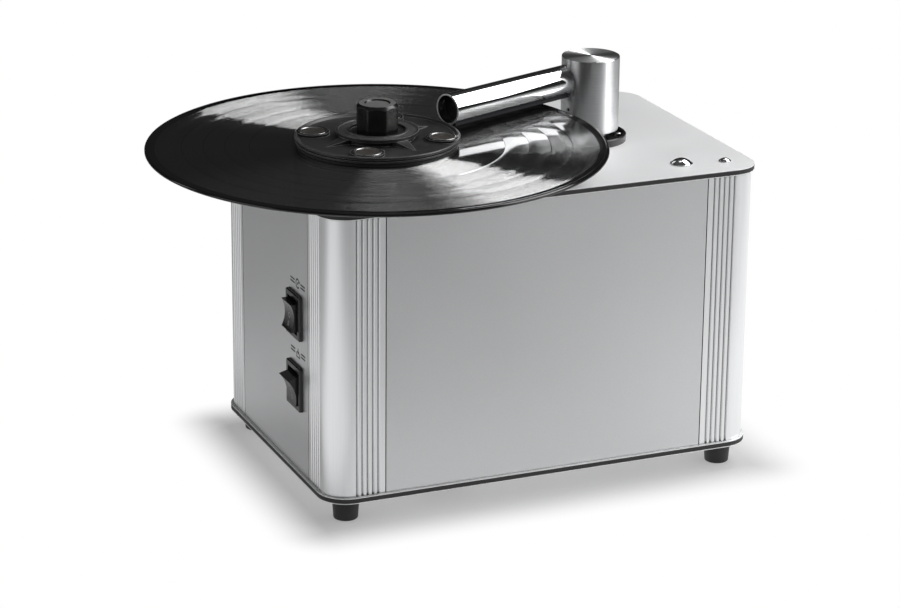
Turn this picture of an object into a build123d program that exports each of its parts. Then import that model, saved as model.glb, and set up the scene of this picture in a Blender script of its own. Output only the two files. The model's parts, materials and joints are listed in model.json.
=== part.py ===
from build123d import *
import os
from math import cos, pi, radians, sin

# Record cleaning machine, millimetres. +Z up, +X along the long front face, +Y away from the front.
# The case is modelled about its own plan centre. The last function moves every piece so that the
# origin lies under the middle of the whole machine, on the surface that it stands on.

# ------------------------------------------------------------------ case
PLATE_LENGTH = 313.8          # top and bottom plate, along X
PLATE_DEPTH = 210.5           # along Y
PLATE_CORNER_R = 20.0
SKIN = 0.5                    # aluminium face of the composite sheet
CORE = 3.0                    # dark core between its two faces
POST_HEIGHT = 191.1           # clear height between the two plates
POST_INSET = 2.0              # plates stand out past the posts
POST_LEG = 39.0               # from the post's outer face to the seam with the panel
POST_CORNER_R = 18.0
POST_LEDGE = 6.0              # tongue behind the panel's edge
LEDGE_WALL = 1.4
PANEL = 2.0                   # side panels
PANEL_SEAM = 0.7              # open joint between panel and post
PANEL_HEAD_GAP = 0.3
GROOVE_FIRST = 19.2           # middle of the first groove, from the post's outer face
GROOVE_PITCH = 3.73
GROOVE_COUNT = 5
GROOVE_WIDTH = 1.9
GROOVE_DEPTH = 1.0
PORT_SETBACK = 10.6           # screw port, from both outer faces
PORT_R = 5.0
TIE_R = 2.0                   # tie bolts run from the bottom plate to inserts in the top plate
TIE_CLEARANCE = 0.4
TIE_HEAD_R = 4.0              # countersunk head, flush with the bottom plate
TIE_HEAD = 2.2
TIE_SOCKET_R = 1.5            # hexagon socket, corner radius
TIE_SOCKET = 1.4
INSERT_R = 4.0
FIT = 0.05                    # radial clearance of a pressed or turning fit
SLACK = 0.5                   # loose clearance around what only passes through

# ------------------------------------------------------------------ feet
FOOT_HEIGHT = 15.9
FOOT_TOP_R = 9.4
FOOT_BOTTOM_R = 8.2
FOOT_EDGE_R = 0.9
FOOT_INSET_X = 19.0           # from the plate's end
FOOT_INSET_Y = 17.6           # from the plate's side
FOOT_WELL_R = 4.2             # well for the screw's head
FOOT_WELL = 9.0
FOOT_SCREW_R = 2.0
FOOT_SCREW_HEAD_R = 3.8
FOOT_SCREW_HEAD = 2.6

# ------------------------------------------------------------------ record, platter and drive
SPINDLE_FROM_LEFT = 53.1      # from the top plate's left end
SPINDLE_FROM_FRONT = 47.5     # and from its front edge
RECORD_R = 150.8
RECORD_RIM = 2.3              # thickness of the bead at the edge
RECORD_WEB = 1.8              # thickness of the grooved area
RECORD_BEAD = 2.6             # width of the bead
RECORD_LABEL_R = 50.0
RECORD_RISE = 30.0            # top of the record above the top plate
RECORD_SLOPE = 1.0            # width of the slopes between its levels
RECORD_HOLE_R = 3.62
MAT = 2.0
PLATTER = 4.0
PLATTER_R = 49.0
PLATTER_CHAMFER = 1.0
HUB_R = 14.0
HUB_FLARE = 3.0               # cone between hub and platter
WASHER = 1.0
RUNNING_GAP = 0.05            # under a turning face
BEARING_RISE = 12.0           # bearing tube above the top plate
BEARING_DROP = 34.0           # and below its upper face
BEARING_R = 11.0
BEARING_FLANGE_R = 21.0
BEARING_FLANGE = 3.0
BEARING_SCREW_CIRCLE_R = 16.5
BEARING_SCREW_COUNT = 3
BEARING_SCREW_FIRST = 90.0
SPINDLE_R = 5.0
SPINDLE_TIP_R = 3.56
SPINDLE_TIP = 15.0            # tip above the record's top
SPINDLE_TIP_CHAMFER = 0.8
SPINDLE_TAIL = 10.0           # below the bearing tube, inside the coupling
COUPLING_R = 9.0
COUPLING = 22.0
COUPLING_GAP = 2.0            # between the shafts' ends, and around the coupling's ends
COUPLING_CHAMFER = 0.8
MOTOR_SHAFT_R = 3.0
GEARBOX_R = 18.5
GEARBOX = 24.0
GEARBOX_NOSE_R = 6.0
GEARBOX_NOSE = 3.0
MOTOR_CAN_R = 17.0
MOTOR_CAN = 34.0
MOTOR_CAN_CHAMFER = 1.5
MOTOR_TERMINAL = (3.0, 0.8, 4.0)
BRACKET = 2.0
BRACKET_LEG_X = 24.0          # leg's inner face, from the spindle's axis
BRACKET_WIDTH = 30.0
BRACKET_FOOT = 9.0

# ------------------------------------------------------------------ record clamp
CLAMP_R = 54.0
CLAMP_HEIGHT = 6.7            # rim above the record
CLAMP_FLANGE_R = 53.6
CLAMP_GROOVE_R = 51.6
CLAMP_TOP_FLANGE = 1.7
CLAMP_LOW_FLANGE = 1.1
CLAMP_GROOVE = 1.1
CLAMP_DISH = 1.3              # middle of the disc below its rim
CLAMP_RIM = 1.6
CLAMP_RIM_CHAMFER = 0.4
CLAMP_HOLLOW_DEPTH = 1.6
CLAMP_HOLLOW_R = (20.0, 46.0)
SEAL = 1.7
SEAL_R = (47.5, 52.6)
RING_R = 27.0                 # raised ring round the knob
RING_HEIGHT = 10.6
RING_LIP = 1.7
RING_SINK = 0.5
RING_NECK_R = 24.6
RING_NECK_TOP = 8.4
RING_WELL_R = 18.5
RING_WELL_HEIGHT = 8.6
WEIGHT_R = 9.2                # steel discs set in the clamp
WEIGHT_BOSS_R = 11.0
WEIGHT_BOSS_LIP = 0.4         # boss above the rim
WEIGHT_BOSS_SINK = 0.3        # boss below the dished top
WEIGHT_PROUD = 0.5            # disc above its boss
WEIGHT = 2.3                  # thickness of a disc
WEIGHT_CHAMFER = 0.5
WEIGHT_CIRCLE_R = 42.4
WEIGHT_COUNT = 4
WEIGHT_FIRST = 60.0           # degrees from +X
GUSSET_TIP_R = 43.5
GUSSET_WIDTH = 10.5
GUSSET_SINK = 0.5             # gussets run this far into the disc,
GUSSET_INTO_RING = 1.0        # and this far into the ring's neck
KNOB_R = 14.25
KNOB_FLAT_R = 13.45           # to the middle of each flat
KNOB_FLAT_COUNT = 8
KNOB_LOW = 9.0                # knob's skirt above the record
KNOB_TOP = 28.2
KNOB_CHAMFER = 2.2
KNOB_EDGE_R = 4.3             # rounding between two flats
KNOB_DISH_R = 8.5
KNOB_DISH = 0.9
KNOB_STEM_R = 9.0
KNOB_STEM_LOW = 1.9
KNOB_PLAY = 0.3
KNOB_INSERT_R = 6.0
KNOB_INSERT = 15.0
KNOB_BORE_R = 3.66

# ------------------------------------------------------------------ suction arm
ARM_RIGHT = 179.1             # column's axis, to the right of the spindle
ARM_BEHIND = 56.4             # and behind it
ARM_ANGLE = -158.9            # direction of the tube, degrees from +X
ARM_OFFSET = 7.1              # tube's axis behind the column's axis
TUBE_OVER_RECORD = 13.5       # tube's axis above the record
COLUMN_R = 19.9
COLUMN_RISE = 7.9             # bottom of the column above the top plate
COLUMN_TOP = 59.3             # top of the column above the top plate
COLUMN_CAP = 4.8
COLUMN_EDGE = 0.6
COLUMN_BORE_R = 16.9
COLUMN_CHAMBER_R = 14.9
TUBE_R = 10.4
TUBE_WALL = 1.2
TUBE_TO_CLAMP = 4.4           # free end from the clamp's rim
TUBE_ROOT = 8.6               # inner end from the column's axis
SLOT_WIDTH = 3.0
SLOT_START = 42.0
SLOT_END = 7.0                # from the free end
LIP = 1.6                     # thickness of the felt lips
LIP_START = 21.0
LIP_END = 1.0                 # from the free end
LIP_ANGLES = (10.0, 38.0)     # from straight down
PLUG = 4.0
PLUG_RECESS = 7.0
CUP_R = 25.5
CUP_WALL = 2.0
CUP_FLOOR = 2.0
CUP_HEIGHT = 5.0
CUP_CHAMFER = 0.5
CUP_SCREW_CIRCLE_R = 20.1
CUP_SCREW_COUNT = 4
CUP_SCREW_FIRST = -14.5
PIPE_R = 10.5                 # fixed suction pipe
PIPE_WALL = 1.6
PIPE_TOP = 30.0               # above the top plate
PIPE_FLANGE = 4.0
PIPE_INTO_TANK = 12.0
BUSH_LOW = 15.0               # lift bush above the top plate
BUSH_HEIGHT = 15.0
BUSH_GROOVE = 3.2
BUSH_GROOVE_DEPTH = 2.0
SET_SCREW_R = 1.3
SET_SCREW_RISE = 24.0         # above the top plate
SET_SCREW_ANGLE = -163.0      # from +X
SET_SCREW_PLAY = 0.3
SET_SCREW_SINK = 0.8          # its outer end below the column's face
SPRING_R = 13.3
SPRING_WIRE_R = 0.7
SPRING_WIRE_SIDES = 8
SPRING_TURNS = 4.0

# ------------------------------------------------------------------ small fittings
VENT_FROM_RIGHT = 49.2        # domed vent cap, from the top plate's right end
VENT_FROM_FRONT = 26.8        # and from its front edge
VENT_R = 7.6
VENT_HEIGHT = 3.9
VENT_STEM_R = 4.0
VENT_NUT_R = 7.0
VENT_NUT = 4.0
DOME_FROM_RIGHT = 19.2        # domed screw, from the top plate's right end
DOME_FROM_FRONT = 21.5        # and from its front edge
DOME_R = 4.2
DOME_HEIGHT = 2.4
DOME_SHANK_R = 2.0
DOME_SHANK = 9.0
SCREW_R = 1.5                 # pan head screws
SCREW_HEAD_R = 2.8
SCREW_HEAD = 2.0
SCREW_HEAD_EDGE_R = 1.2
SCREW_SHANK = 8.0

# ------------------------------------------------------------------ rocker switches on the left panel
SWITCH_FROM_FRONT = 64.6      # middle of both switches, from the plates' front edge
MOTOR_SWITCH_DROP = 85.9      # middle of the switch below the top plate's upper face
VACUUM_SWITCH_DROP = 135.8
BEZEL_WIDTH = 25.5
BEZEL_HEIGHT = 31.0
BEZEL = 2.5
BEZEL_CORNER_R = 1.2
BEZEL_CHAMFER = 0.6
WELL_WIDTH = 18.6
WELL_HEIGHT = 24.0
SWITCH_BODY_WIDTH = 22.0
SWITCH_BODY_HEIGHT = 27.4
SWITCH_BODY = 22.0
WELL_FLOOR = 11.0             # wall behind the rocker
ROCKER_PIVOT = 3.0            # pivot axis behind the panel's face
ROCKER_BACK_R = 7.0
ROCKER_SIDE_GAP = 0.5
ROCKER_TIP = 4.3              # tip beyond the bezel's face when level
ROCKER_DIP = 2.4              # hollow of the rocker's face
ROCKER_HALF = 9.7             # half height of the rocker's face
VACUUM_TILT = 16.0            # from level; the switch stands pressed at its lower end
PIVOT_PIN_R = 1.4
PIVOT_PIN_REACH = 1.0         # into the well's sides
TERMINAL = (7.0, 0.8, 6.0)    # depth, thickness and width of a tab
TERMINAL_SPACING = 7.5

# ------------------------------------------------------------------ rear fittings
INLET_FROM_LEFT = 61.9        # mains inlet, from the plates' left end
INLET_Z = 52.0
INLET_CORNER_R = 2.0
INLET_FLANGE = (33.0, 27.0, 2.6)
INLET_BODY = (27.2, 20.0, 24.0)
INLET_CAVITY = (24.2, 16.4, 17.0)
INLET_CAVITY_CUT = 4.5
PIN_BLADE = (2.0, 4.0)
PIN_REACH = 12.4
PIN_TAIL = 7.0
PIN_SPREAD = 7.0
PIN_LOW = -2.6
PIN_HIGH = 3.4
SPIGOT_FROM_RIGHT = 80.9      # drain, from the plates' right end
SPIGOT_Z = 38.0
SPIGOT_R = 8.0
SPIGOT_WALL = 2.0
SPIGOT_FLANGE_R = 13.0
SPIGOT_FLANGE = 3.0
SPIGOT_OUT = 12.0             # past the rear panel
SPIGOT_PLAY = 0.9
CAP_WALL = 2.2
CAP_DEPTH = 10.0
CAP_RIB_COUNT = 12
CAP_RIB_R = 0.7
CAP_RIB_SETBACK = 1.0         # ribs stop this far from the closed end
CAP_PLAY = 0.08
EXHAUST_FROM_LEFT = 116.9     # middle of the exhaust slots
EXHAUST_Z = 112.0
EXHAUST_SLOT = (3.0, 34.0)
EXHAUST_PITCH = 7.0
EXHAUST_COUNT = 9
VENT_SLOT = (36.0, 3.0)
VENT_SLOT_PITCH = 7.0
VENT_SLOT_COUNT = 6
VENT_SLOTS_FROM_LEFT = 94.9   # middle of the cooling slots in the bottom plate
VENT_SLOTS_FROM_FRONT = 43.2

# ------------------------------------------------------------------ inside
TANK_FROM_RIGHT = 26.9        # its right face, from the plates' right end
TANK_FROM_PIPE = 55.2         # its left face, from the suction pipe's axis
TANK_DEPTH = 160.0
TANK_TO_DECK = 69.1           # its rim below the top plate
TANK_WALL = 2.5
TANK_CORNER_R = 10.0
LID = 3.0
LID_SKIRT = 6.0
LID_OVERHANG = 2.0
LID_COLLAR = 8.0
LID_COLLAR_WALL = 2.5
HOSE_R = 11.0
HOSE_WALL = 2.0
HOSE_BEND_R = 21.0
HOSE_TO_DECK = 7.2            # top of the hose below the top plate
HOSE_PORT_Y = 42.0            # outlet on the tank's lid, from the case's centre
HOSE_PORT_FROM_LEFT = 24.0    # from the tank's left face
BLOWER_FROM_LEFT = 98.9       # fan's axis, from the plates' left end
BLOWER_FROM_REAR = 63.2       # and from their rear edge
BLOWER_R = 50.0
BLOWER_LOW = 92.0             # underside of the fan housing
BLOWER_HEIGHT = 34.0
BLOWER_WALL = 2.0
BLOWER_EYE_R = 16.0
BLOWER_COLLAR = 9.0
BLOWER_EYE_WALL = 2.0
BLOWER_OUTLET = (18.0, 26.0)  # near side from the fan's axis, and width
BLOWER_OUTLET_REACH = 6.0     # past the round housing
IMPELLER_R = 43.0
IMPELLER_EYE_R = 18.0
IMPELLER_BACK = 1.5
IMPELLER_BLADE = 12.0
IMPELLER_BLADE_WALL = 1.4
IMPELLER_BLADE_COUNT = 9
IMPELLER_TIP_GAP = 1.0        # blades stop short of the back plate's rim
IMPELLER_SWEEP = 38.0         # degrees that a blade leans back
IMPELLER_MIDDLE_SWEEP = 0.38  # share of that at half radius
IMPELLER_HUB_R = 9.0
IMPELLER_HUB = 8.4
IMPELLER_LOW = 5.0            # above the housing's floor
FAN_SHAFT_R = 4.0
FAN_MOTOR_R = 36.0
FAN_MOTOR_CHAMFER = 3.0
FAN_MOTOR_FOOT = 10.0         # rubber ring under the fan motor
FAN_FOOT_WALL = 8.0
BOARD = (76.0, 50.0, 1.6)
BOARD_FROM_LEFT = 120.9       # middle of the circuit board
BOARD_FROM_FRONT = 39.2
BOARD_STANDOFF = 8.0
BOARD_STANDOFF_R = 3.0
BOARD_STANDOFF_INSET = 4.0
TRANSFORMER = (34.0, 30.0, 24.0)
TRANSFORMER_INSET = 8.0
CAPACITOR_R = 8.0
CAPACITOR_INSET = 16.0        # its axis, from the board's end
CAPACITOR = 20.0

# ------------------------------------------------------------------ places that follow from the sizes
LEFT_END = -PLATE_LENGTH / 2
RIGHT_END = PLATE_LENGTH / 2
FRONT_EDGE = -PLATE_DEPTH / 2
REAR_EDGE = PLATE_DEPTH / 2
SPINDLE_X = LEFT_END + SPINDLE_FROM_LEFT
SPINDLE_Y = FRONT_EDGE + SPINDLE_FROM_FRONT
ARM_X = SPINDLE_X + ARM_RIGHT
ARM_Y = SPINDLE_Y + ARM_BEHIND
ARM_DIRECTION = (cos(radians(ARM_ANGLE)), sin(radians(ARM_ANGLE)))
SPINDLE_ALONG_TUBE = -ARM_RIGHT * ARM_DIRECTION[0] - ARM_BEHIND * ARM_DIRECTION[1]
TUBE_REACH = SPINDLE_ALONG_TUBE - CLAMP_R - TUBE_TO_CLAMP
VENT_X = RIGHT_END - VENT_FROM_RIGHT
VENT_Y = FRONT_EDGE + VENT_FROM_FRONT
DOME_X = RIGHT_END - DOME_FROM_RIGHT
DOME_Y = FRONT_EDGE + DOME_FROM_FRONT
SWITCH_Y = FRONT_EDGE + SWITCH_FROM_FRONT
INLET_X = LEFT_END + INLET_FROM_LEFT
SPIGOT_X = RIGHT_END - SPIGOT_FROM_RIGHT
EXHAUST_X = LEFT_END + EXHAUST_FROM_LEFT
VENT_SLOTS_X = LEFT_END + VENT_SLOTS_FROM_LEFT
VENT_SLOTS_Y = FRONT_EDGE + VENT_SLOTS_FROM_FRONT
TANK_RIGHT = RIGHT_END - TANK_FROM_RIGHT
TANK_LEFT = ARM_X - TANK_FROM_PIPE
TANK_LENGTH = TANK_RIGHT - TANK_LEFT
TANK_MIDDLE = (TANK_LEFT + TANK_RIGHT) / 2
TANK_REAR = TANK_DEPTH / 2
HOSE_PORT_X = TANK_LEFT + HOSE_PORT_FROM_LEFT
BLOWER_X = LEFT_END + BLOWER_FROM_LEFT
BLOWER_Y = REAR_EDGE - BLOWER_FROM_REAR
BOARD_X = LEFT_END + BOARD_FROM_LEFT
BOARD_Y = FRONT_EDGE + BOARD_FROM_FRONT

# ------------------------------------------------------------------ levels that follow from the sizes
PLATE = CORE + 2 * SKIN
BASE_LOW = FOOT_HEIGHT
BASE_TOP = BASE_LOW + PLATE
DECK_LOW = BASE_TOP + POST_HEIGHT
DECK_TOP = DECK_LOW + PLATE
POST_X = RIGHT_END - POST_INSET              # outer faces of the posts
POST_Y = REAR_EDGE - POST_INSET
WALL = PANEL + LEDGE_WALL
RECORD_TOP = DECK_TOP + RECORD_RISE
RECORD_LOW = RECORD_TOP - RECORD_RIM
MAT_LOW = RECORD_LOW - MAT
PLATTER_LOW = MAT_LOW - PLATTER
BEARING_TOP = DECK_TOP + BEARING_RISE
BEARING_LOW = DECK_TOP - BEARING_DROP
WASHER_TOP = BEARING_TOP + WASHER
SPINDLE_LOW = BEARING_LOW - SPINDLE_TAIL
MOTOR_SHAFT_TOP = SPINDLE_LOW - COUPLING_GAP
COUPLING_TOP = BEARING_LOW - COUPLING_GAP
COUPLING_LOW = COUPLING_TOP - COUPLING
GEARBOX_TOP = COUPLING_LOW - COUPLING_GAP - GEARBOX_NOSE
BRACKET_TOP = GEARBOX_TOP + BRACKET
RING_TOP = RECORD_TOP + RING_HEIGHT
KNOB_HEAD = RECORD_TOP + KNOB_TOP
ARM_AXIS = RECORD_TOP + TUBE_OVER_RECORD
COLUMN_LOW = DECK_TOP + COLUMN_RISE
COLUMN_HEAD = DECK_TOP + COLUMN_TOP
CUP_FLOOR_TOP = DECK_TOP + CUP_FLOOR
BUSH_BOTTOM = DECK_TOP + BUSH_LOW
BUSH_TOP = BUSH_BOTTOM + BUSH_HEIGHT
SET_SCREW_Z = DECK_TOP + SET_SCREW_RISE
TANK_HEIGHT = POST_HEIGHT - TANK_TO_DECK
TANK_TOP = BASE_TOP + TANK_HEIGHT
LID_TOP = TANK_TOP + LID
PIPE_LOW = LID_TOP - PIPE_INTO_TANK
HOSE_CROWN = DECK_LOW - HOSE_TO_DECK - HOSE_R
REAR_FACE = POST_Y
LEFT_FACE = -POST_X
SPIGOT_END = REAR_FACE + SPIGOT_OUT
CAP_END = SPIGOT_END + CAP_WALL

# The origin lies under the middle of the box that holds the whole machine.
ORIGIN_X = (SPINDLE_X - RECORD_R + RIGHT_END) / 2
ORIGIN_Y = (SPINDLE_Y - RECORD_R + CAP_END) / 2


# ------------------------------------------------------------------ shapes used more than once
def disc(radius, low, high, x=0.0, y=0.0):
    """An upright round bar between two heights."""
    bar = Cylinder(radius, high - low, align=(Align.CENTER, Align.CENTER, Align.MIN))
    return Pos(x, y, low) * bar


def ring(outer, inner, low, high, x=0.0, y=0.0):
    """An upright tube between two heights."""
    return disc(outer, low, high, x, y) - disc(inner, low, high, x, y)


def block(x_range, y_range, z_range):
    """A box given by its lowest and highest corner values."""
    size = [high - low for low, high in (x_range, y_range, z_range)]
    middle = [(high + low) / 2 for low, high in (x_range, y_range, z_range)]
    return Pos(*middle) * Box(*size)


def turned(points):
    """A body turned about Z from (radius, height) points."""
    outline = make_face(Polyline(*[(radius, 0, height) for radius, height in points], close=True))
    return revolve(outline, Axis.Z)


def rod_y(radius, low, high, x, z):
    """A round bar along Y."""
    bar = Cylinder(radius, high - low, align=(Align.CENTER, Align.CENTER, Align.MIN))
    return Pos(x, low, z) * Rot(-90, 0, 0) * bar


def around(count, radius, first=0.0):
    """Points spaced evenly on a circle, as (x, y, angle)."""
    angles = [first + 360.0 * index / count for index in range(count)]
    return [(radius * cos(radians(a)), radius * sin(radians(a)), a) for a in angles]


def corners(x, y):
    """The four points at plus and minus x and y."""
    return [(-x, -y), (x, -y), (-x, y), (x, y)]


def pan_screw(x, y, seat):
    """A pan head screw that points down, with its head on the seat."""
    head = disc(SCREW_HEAD_R, 0, SCREW_HEAD)
    head = fillet(head.edges().sort_by(Axis.Z)[-1], SCREW_HEAD_EDGE_R)
    return Pos(x, y, seat) * (head + disc(SCREW_R, -SCREW_SHANK, 0))


# ------------------------------------------------------------------ places shared by several pieces
TIE_POINTS = corners(POST_X - PORT_SETBACK, POST_Y - PORT_SETBACK)
FOOT_POINTS = corners(RIGHT_END - FOOT_INSET_X, REAR_EDGE - FOOT_INSET_Y)
CUP_SCREW_POINTS = [
    (ARM_X + x, ARM_Y + y) for x, y, _ in around(CUP_SCREW_COUNT, CUP_SCREW_CIRCLE_R, CUP_SCREW_FIRST)
]
BEARING_SCREW_POINTS = [
    (SPINDLE_X + x, SPINDLE_Y + y)
    for x, y, _ in around(BEARING_SCREW_COUNT, BEARING_SCREW_CIRCLE_R, BEARING_SCREW_FIRST)
]
BRACKET_SCREW_POINTS = [
    (SPINDLE_X + side * (BRACKET_LEG_X + BRACKET + BRACKET_FOOT / 2), SPINDLE_Y + along)
    for side in (-1, 1)
    for along in (-BRACKET_WIDTH / 4, BRACKET_WIDTH / 4)
]


# ------------------------------------------------------------------ case
def plate_layer(low, high):
    """One layer of a rounded composite sheet."""
    outline = RectangleRounded(PLATE_LENGTH, PLATE_DEPTH, PLATE_CORNER_R)
    return Pos(0, 0, low) * extrude(outline, high - low)


def deck_openings(low, high):
    """What passes right through the top plate, between two heights."""
    holes = disc(BEARING_R + SLACK, low, high, SPINDLE_X, SPINDLE_Y)
    holes += disc(PIPE_R + SLACK, low, high, ARM_X, ARM_Y)
    holes += disc(VENT_STEM_R + SLACK, low, high, VENT_X, VENT_Y)
    holes += disc(DOME_SHANK_R + FIT, low, high, DOME_X, DOME_Y)
    for x, y in CUP_SCREW_POINTS + BEARING_SCREW_POINTS:
        holes += disc(SCREW_R + FIT, low, high, x, y)
    return holes


def deck_blind_holes(low, high):
    """Holes that enter the top plate from below and stop under its upper skin."""
    holes = Part()
    for x, y in TIE_POINTS:
        holes += disc(INSERT_R + FIT, low, high, x, y)
    for x, y in BRACKET_SCREW_POINTS:
        holes += disc(SCREW_R + FIT, low, high, x, y)
    return holes


def top_plate():
    """Core and the two skins of the top plate."""
    core_low = DECK_LOW + SKIN
    core_top = core_low + CORE
    core = plate_layer(core_low, core_top)
    core -= deck_openings(core_low, core_top) + deck_blind_holes(core_low, core_top)
    lower = plate_layer(DECK_LOW, core_low)
    lower -= deck_openings(DECK_LOW, core_low) + deck_blind_holes(DECK_LOW, core_low)
    upper = plate_layer(core_top, DECK_TOP) - deck_openings(core_top, DECK_TOP)
    return core, Compound(children=[lower, upper])


def tie_head(x, y, grow=0.0):
    """Countersunk head of a tie bolt, flush with the underside of the bottom plate."""
    standing = (Align.CENTER, Align.CENTER, Align.MIN)
    head = Cone(TIE_HEAD_R + grow, TIE_R + grow, TIE_HEAD, align=standing)
    return Pos(x, y, BASE_LOW) * head


def base_openings(low, high):
    """Holes in the bottom plate: tie bolts, foot screws and cooling slots."""
    holes = Part()
    for x, y in TIE_POINTS:
        holes += disc(TIE_R + TIE_CLEARANCE, low, high, x, y)
        holes += tie_head(x, y, FIT)
    for x, y in FOOT_POINTS:
        holes += disc(FOOT_SCREW_R + FIT, low, high, x, y)
    length, width = VENT_SLOT
    for index in range(VENT_SLOT_COUNT):
        offset = (index - (VENT_SLOT_COUNT - 1) / 2) * VENT_SLOT_PITCH
        slot = extrude(SlotOverall(length, width), high - low)
        holes += Pos(VENT_SLOTS_X, VENT_SLOTS_Y + offset, low) * slot
    return holes


def bottom_plate():
    """Core and the two skins of the bottom plate."""
    core_low = BASE_LOW + SKIN
    core_top = core_low + CORE
    core = plate_layer(core_low, core_top) - base_openings(core_low, core_top)
    outer = plate_layer(BASE_LOW, core_low) - base_openings(BASE_LOW, core_low)
    inner = plate_layer(core_top, BASE_TOP) - base_openings(core_top, BASE_TOP)
    return core, Compound(children=[outer, inner])


def post_section():
    """Section of a corner extrusion whose outer faces lie on the two axes."""
    reach = POST_LEG + POST_LEDGE
    inner_r = POST_CORNER_R - WALL
    mid_out = POST_CORNER_R * (1 - cos(pi / 4))
    mid_in = POST_CORNER_R - inner_r * cos(pi / 4)
    outline = [
        ThreePointArc((0, POST_CORNER_R), (mid_out, mid_out), (POST_CORNER_R, 0)),
        Polyline(
            (POST_CORNER_R, 0),
            (POST_LEG, 0),
            (POST_LEG, PANEL),
            (reach, PANEL),
            (reach, WALL),
            (POST_CORNER_R, WALL),
        ),
        ThreePointArc((POST_CORNER_R, WALL), (mid_in, mid_in), (WALL, POST_CORNER_R)),
        Polyline(
            (WALL, POST_CORNER_R),
            (WALL, reach),
            (PANEL, reach),
            (PANEL, POST_LEG),
            (0, POST_LEG),
            (0, POST_CORNER_R),
        ),
    ]
    section = make_face(Curve() + outline)
    half = GROOVE_WIDTH / 2
    for index in range(GROOVE_COUNT):
        at = GROOVE_FIRST + index * GROOVE_PITCH
        front = make_face(Polyline((at - half, 0), (at + half, 0), (at, GROOVE_DEPTH), close=True))
        side = make_face(Polyline((0, at - half), (0, at + half), (GROOVE_DEPTH, at), close=True))
        section -= front
        section -= side
    section += Pos(PORT_SETBACK, PORT_SETBACK) * Circle(PORT_R)
    section -= Pos(PORT_SETBACK, PORT_SETBACK) * Circle(TIE_R + TIE_CLEARANCE)
    return section


def posts():
    """The four corner extrusions, by name."""
    front_left = Pos(-POST_X, -POST_Y, BASE_TOP) * extrude(post_section(), POST_HEIGHT)
    rear_left = mirror(front_left, Plane.XZ)
    return {
        "post_front_left": front_left,
        "post_front_right": mirror(front_left, Plane.YZ),
        "post_rear_left": rear_left,
        "post_rear_right": mirror(rear_left, Plane.YZ),
    }


def panels():
    """Front, right, left and rear panels with their cut-outs, by name."""
    half_x = POST_X - POST_LEG - PANEL_SEAM
    half_y = POST_Y - POST_LEG - PANEL_SEAM
    height = (BASE_TOP, DECK_LOW - PANEL_HEAD_GAP)
    front = block((-half_x, half_x), (-POST_Y, -POST_Y + PANEL), height)
    right = block((POST_X - PANEL, POST_X), (-half_y, half_y), height)
    left = block((LEFT_FACE, LEFT_FACE + PANEL), (-half_y, half_y), height)
    half_w = SWITCH_BODY_WIDTH / 2 + FIT
    half_h = SWITCH_BODY_HEIGHT / 2 + FIT
    for drop in (MOTOR_SWITCH_DROP, VACUUM_SWITCH_DROP):
        z = DECK_TOP - drop
        left -= block(
            (LEFT_FACE, LEFT_FACE + PANEL),
            (SWITCH_Y - half_w, SWITCH_Y + half_w),
            (z - half_h, z + half_h),
        )
    rear = block((-half_x, half_x), (REAR_FACE - PANEL, REAR_FACE), height)
    width, tall, _ = INLET_BODY
    rear -= block(
        (INLET_X - width / 2 - FIT, INLET_X + width / 2 + FIT),
        (REAR_FACE - PANEL, REAR_FACE),
        (INLET_Z - tall / 2 - FIT, INLET_Z + tall / 2 + FIT),
    )
    rear -= rod_y(SPIGOT_R + SPIGOT_PLAY, REAR_FACE - PANEL, REAR_FACE, SPIGOT_X, SPIGOT_Z)
    slot_width, slot_height = EXHAUST_SLOT
    for index in range(EXHAUST_COUNT):
        offset = (index - (EXHAUST_COUNT - 1) / 2) * EXHAUST_PITCH
        slot = extrude(SlotOverall(slot_height, slot_width), PANEL)
        upright = Rot(90, 0, 0) * Rot(0, 0, 90) * slot
        rear -= Pos(EXHAUST_X + offset, REAR_FACE, EXHAUST_Z) * upright
    return {"front_panel": front, "right_panel": right, "left_panel": left, "rear_panel": rear}


def feet():
    """Four tapered rubber feet with a well for the screw."""
    foot = turned(
        [
            (0, 0),
            (FOOT_BOTTOM_R, 0),
            (FOOT_TOP_R, FOOT_HEIGHT),
            (0, FOOT_HEIGHT),
        ]
    )
    foot = fillet(foot.edges().sort_by(Axis.Z)[0], FOOT_EDGE_R)
    foot -= disc(FOOT_WELL_R, 0, FOOT_WELL) + disc(FOOT_SCREW_R + FIT, FOOT_WELL, FOOT_HEIGHT)
    return Compound(children=[Pos(x, y, 0) * foot for x, y in FOOT_POINTS])


def foot_screws():
    """Screws that hold the feet, headed inside their wells and driven into the bottom plate."""
    screws = []
    for x, y in FOOT_POINTS:
        screw = disc(FOOT_SCREW_HEAD_R, FOOT_WELL - FOOT_SCREW_HEAD, FOOT_WELL, x, y)
        screw += disc(FOOT_SCREW_R, FOOT_WELL, BASE_TOP, x, y)
        screws.append(screw)
    return Compound(children=screws)


def tie_bolts():
    """Long bolts from below the bottom plate, up the posts' ports, into the top plate's inserts."""
    bolts = []
    for x, y in TIE_POINTS:
        bolt = tie_head(x, y) + disc(TIE_R, BASE_LOW, DECK_TOP - SKIN - FIT, x, y)
        bolt -= extrude(Pos(x, y, BASE_LOW) * RegularPolygon(TIE_SOCKET_R, 6), TIE_SOCKET)
        bolts.append(bolt)
    return Compound(children=bolts)


def deck_inserts():
    """Threaded inserts in the top plate's core."""
    inserts = [
        ring(INSERT_R, TIE_R + FIT, DECK_LOW, DECK_TOP - SKIN, x, y) for x, y in TIE_POINTS
    ]
    return Compound(children=inserts)


# ------------------------------------------------------------------ platter and drive
def at_spindle(shape):
    """Move a piece from its own axis to the spindle's."""
    return Pos(SPINDLE_X, SPINDLE_Y, 0) * shape


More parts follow.
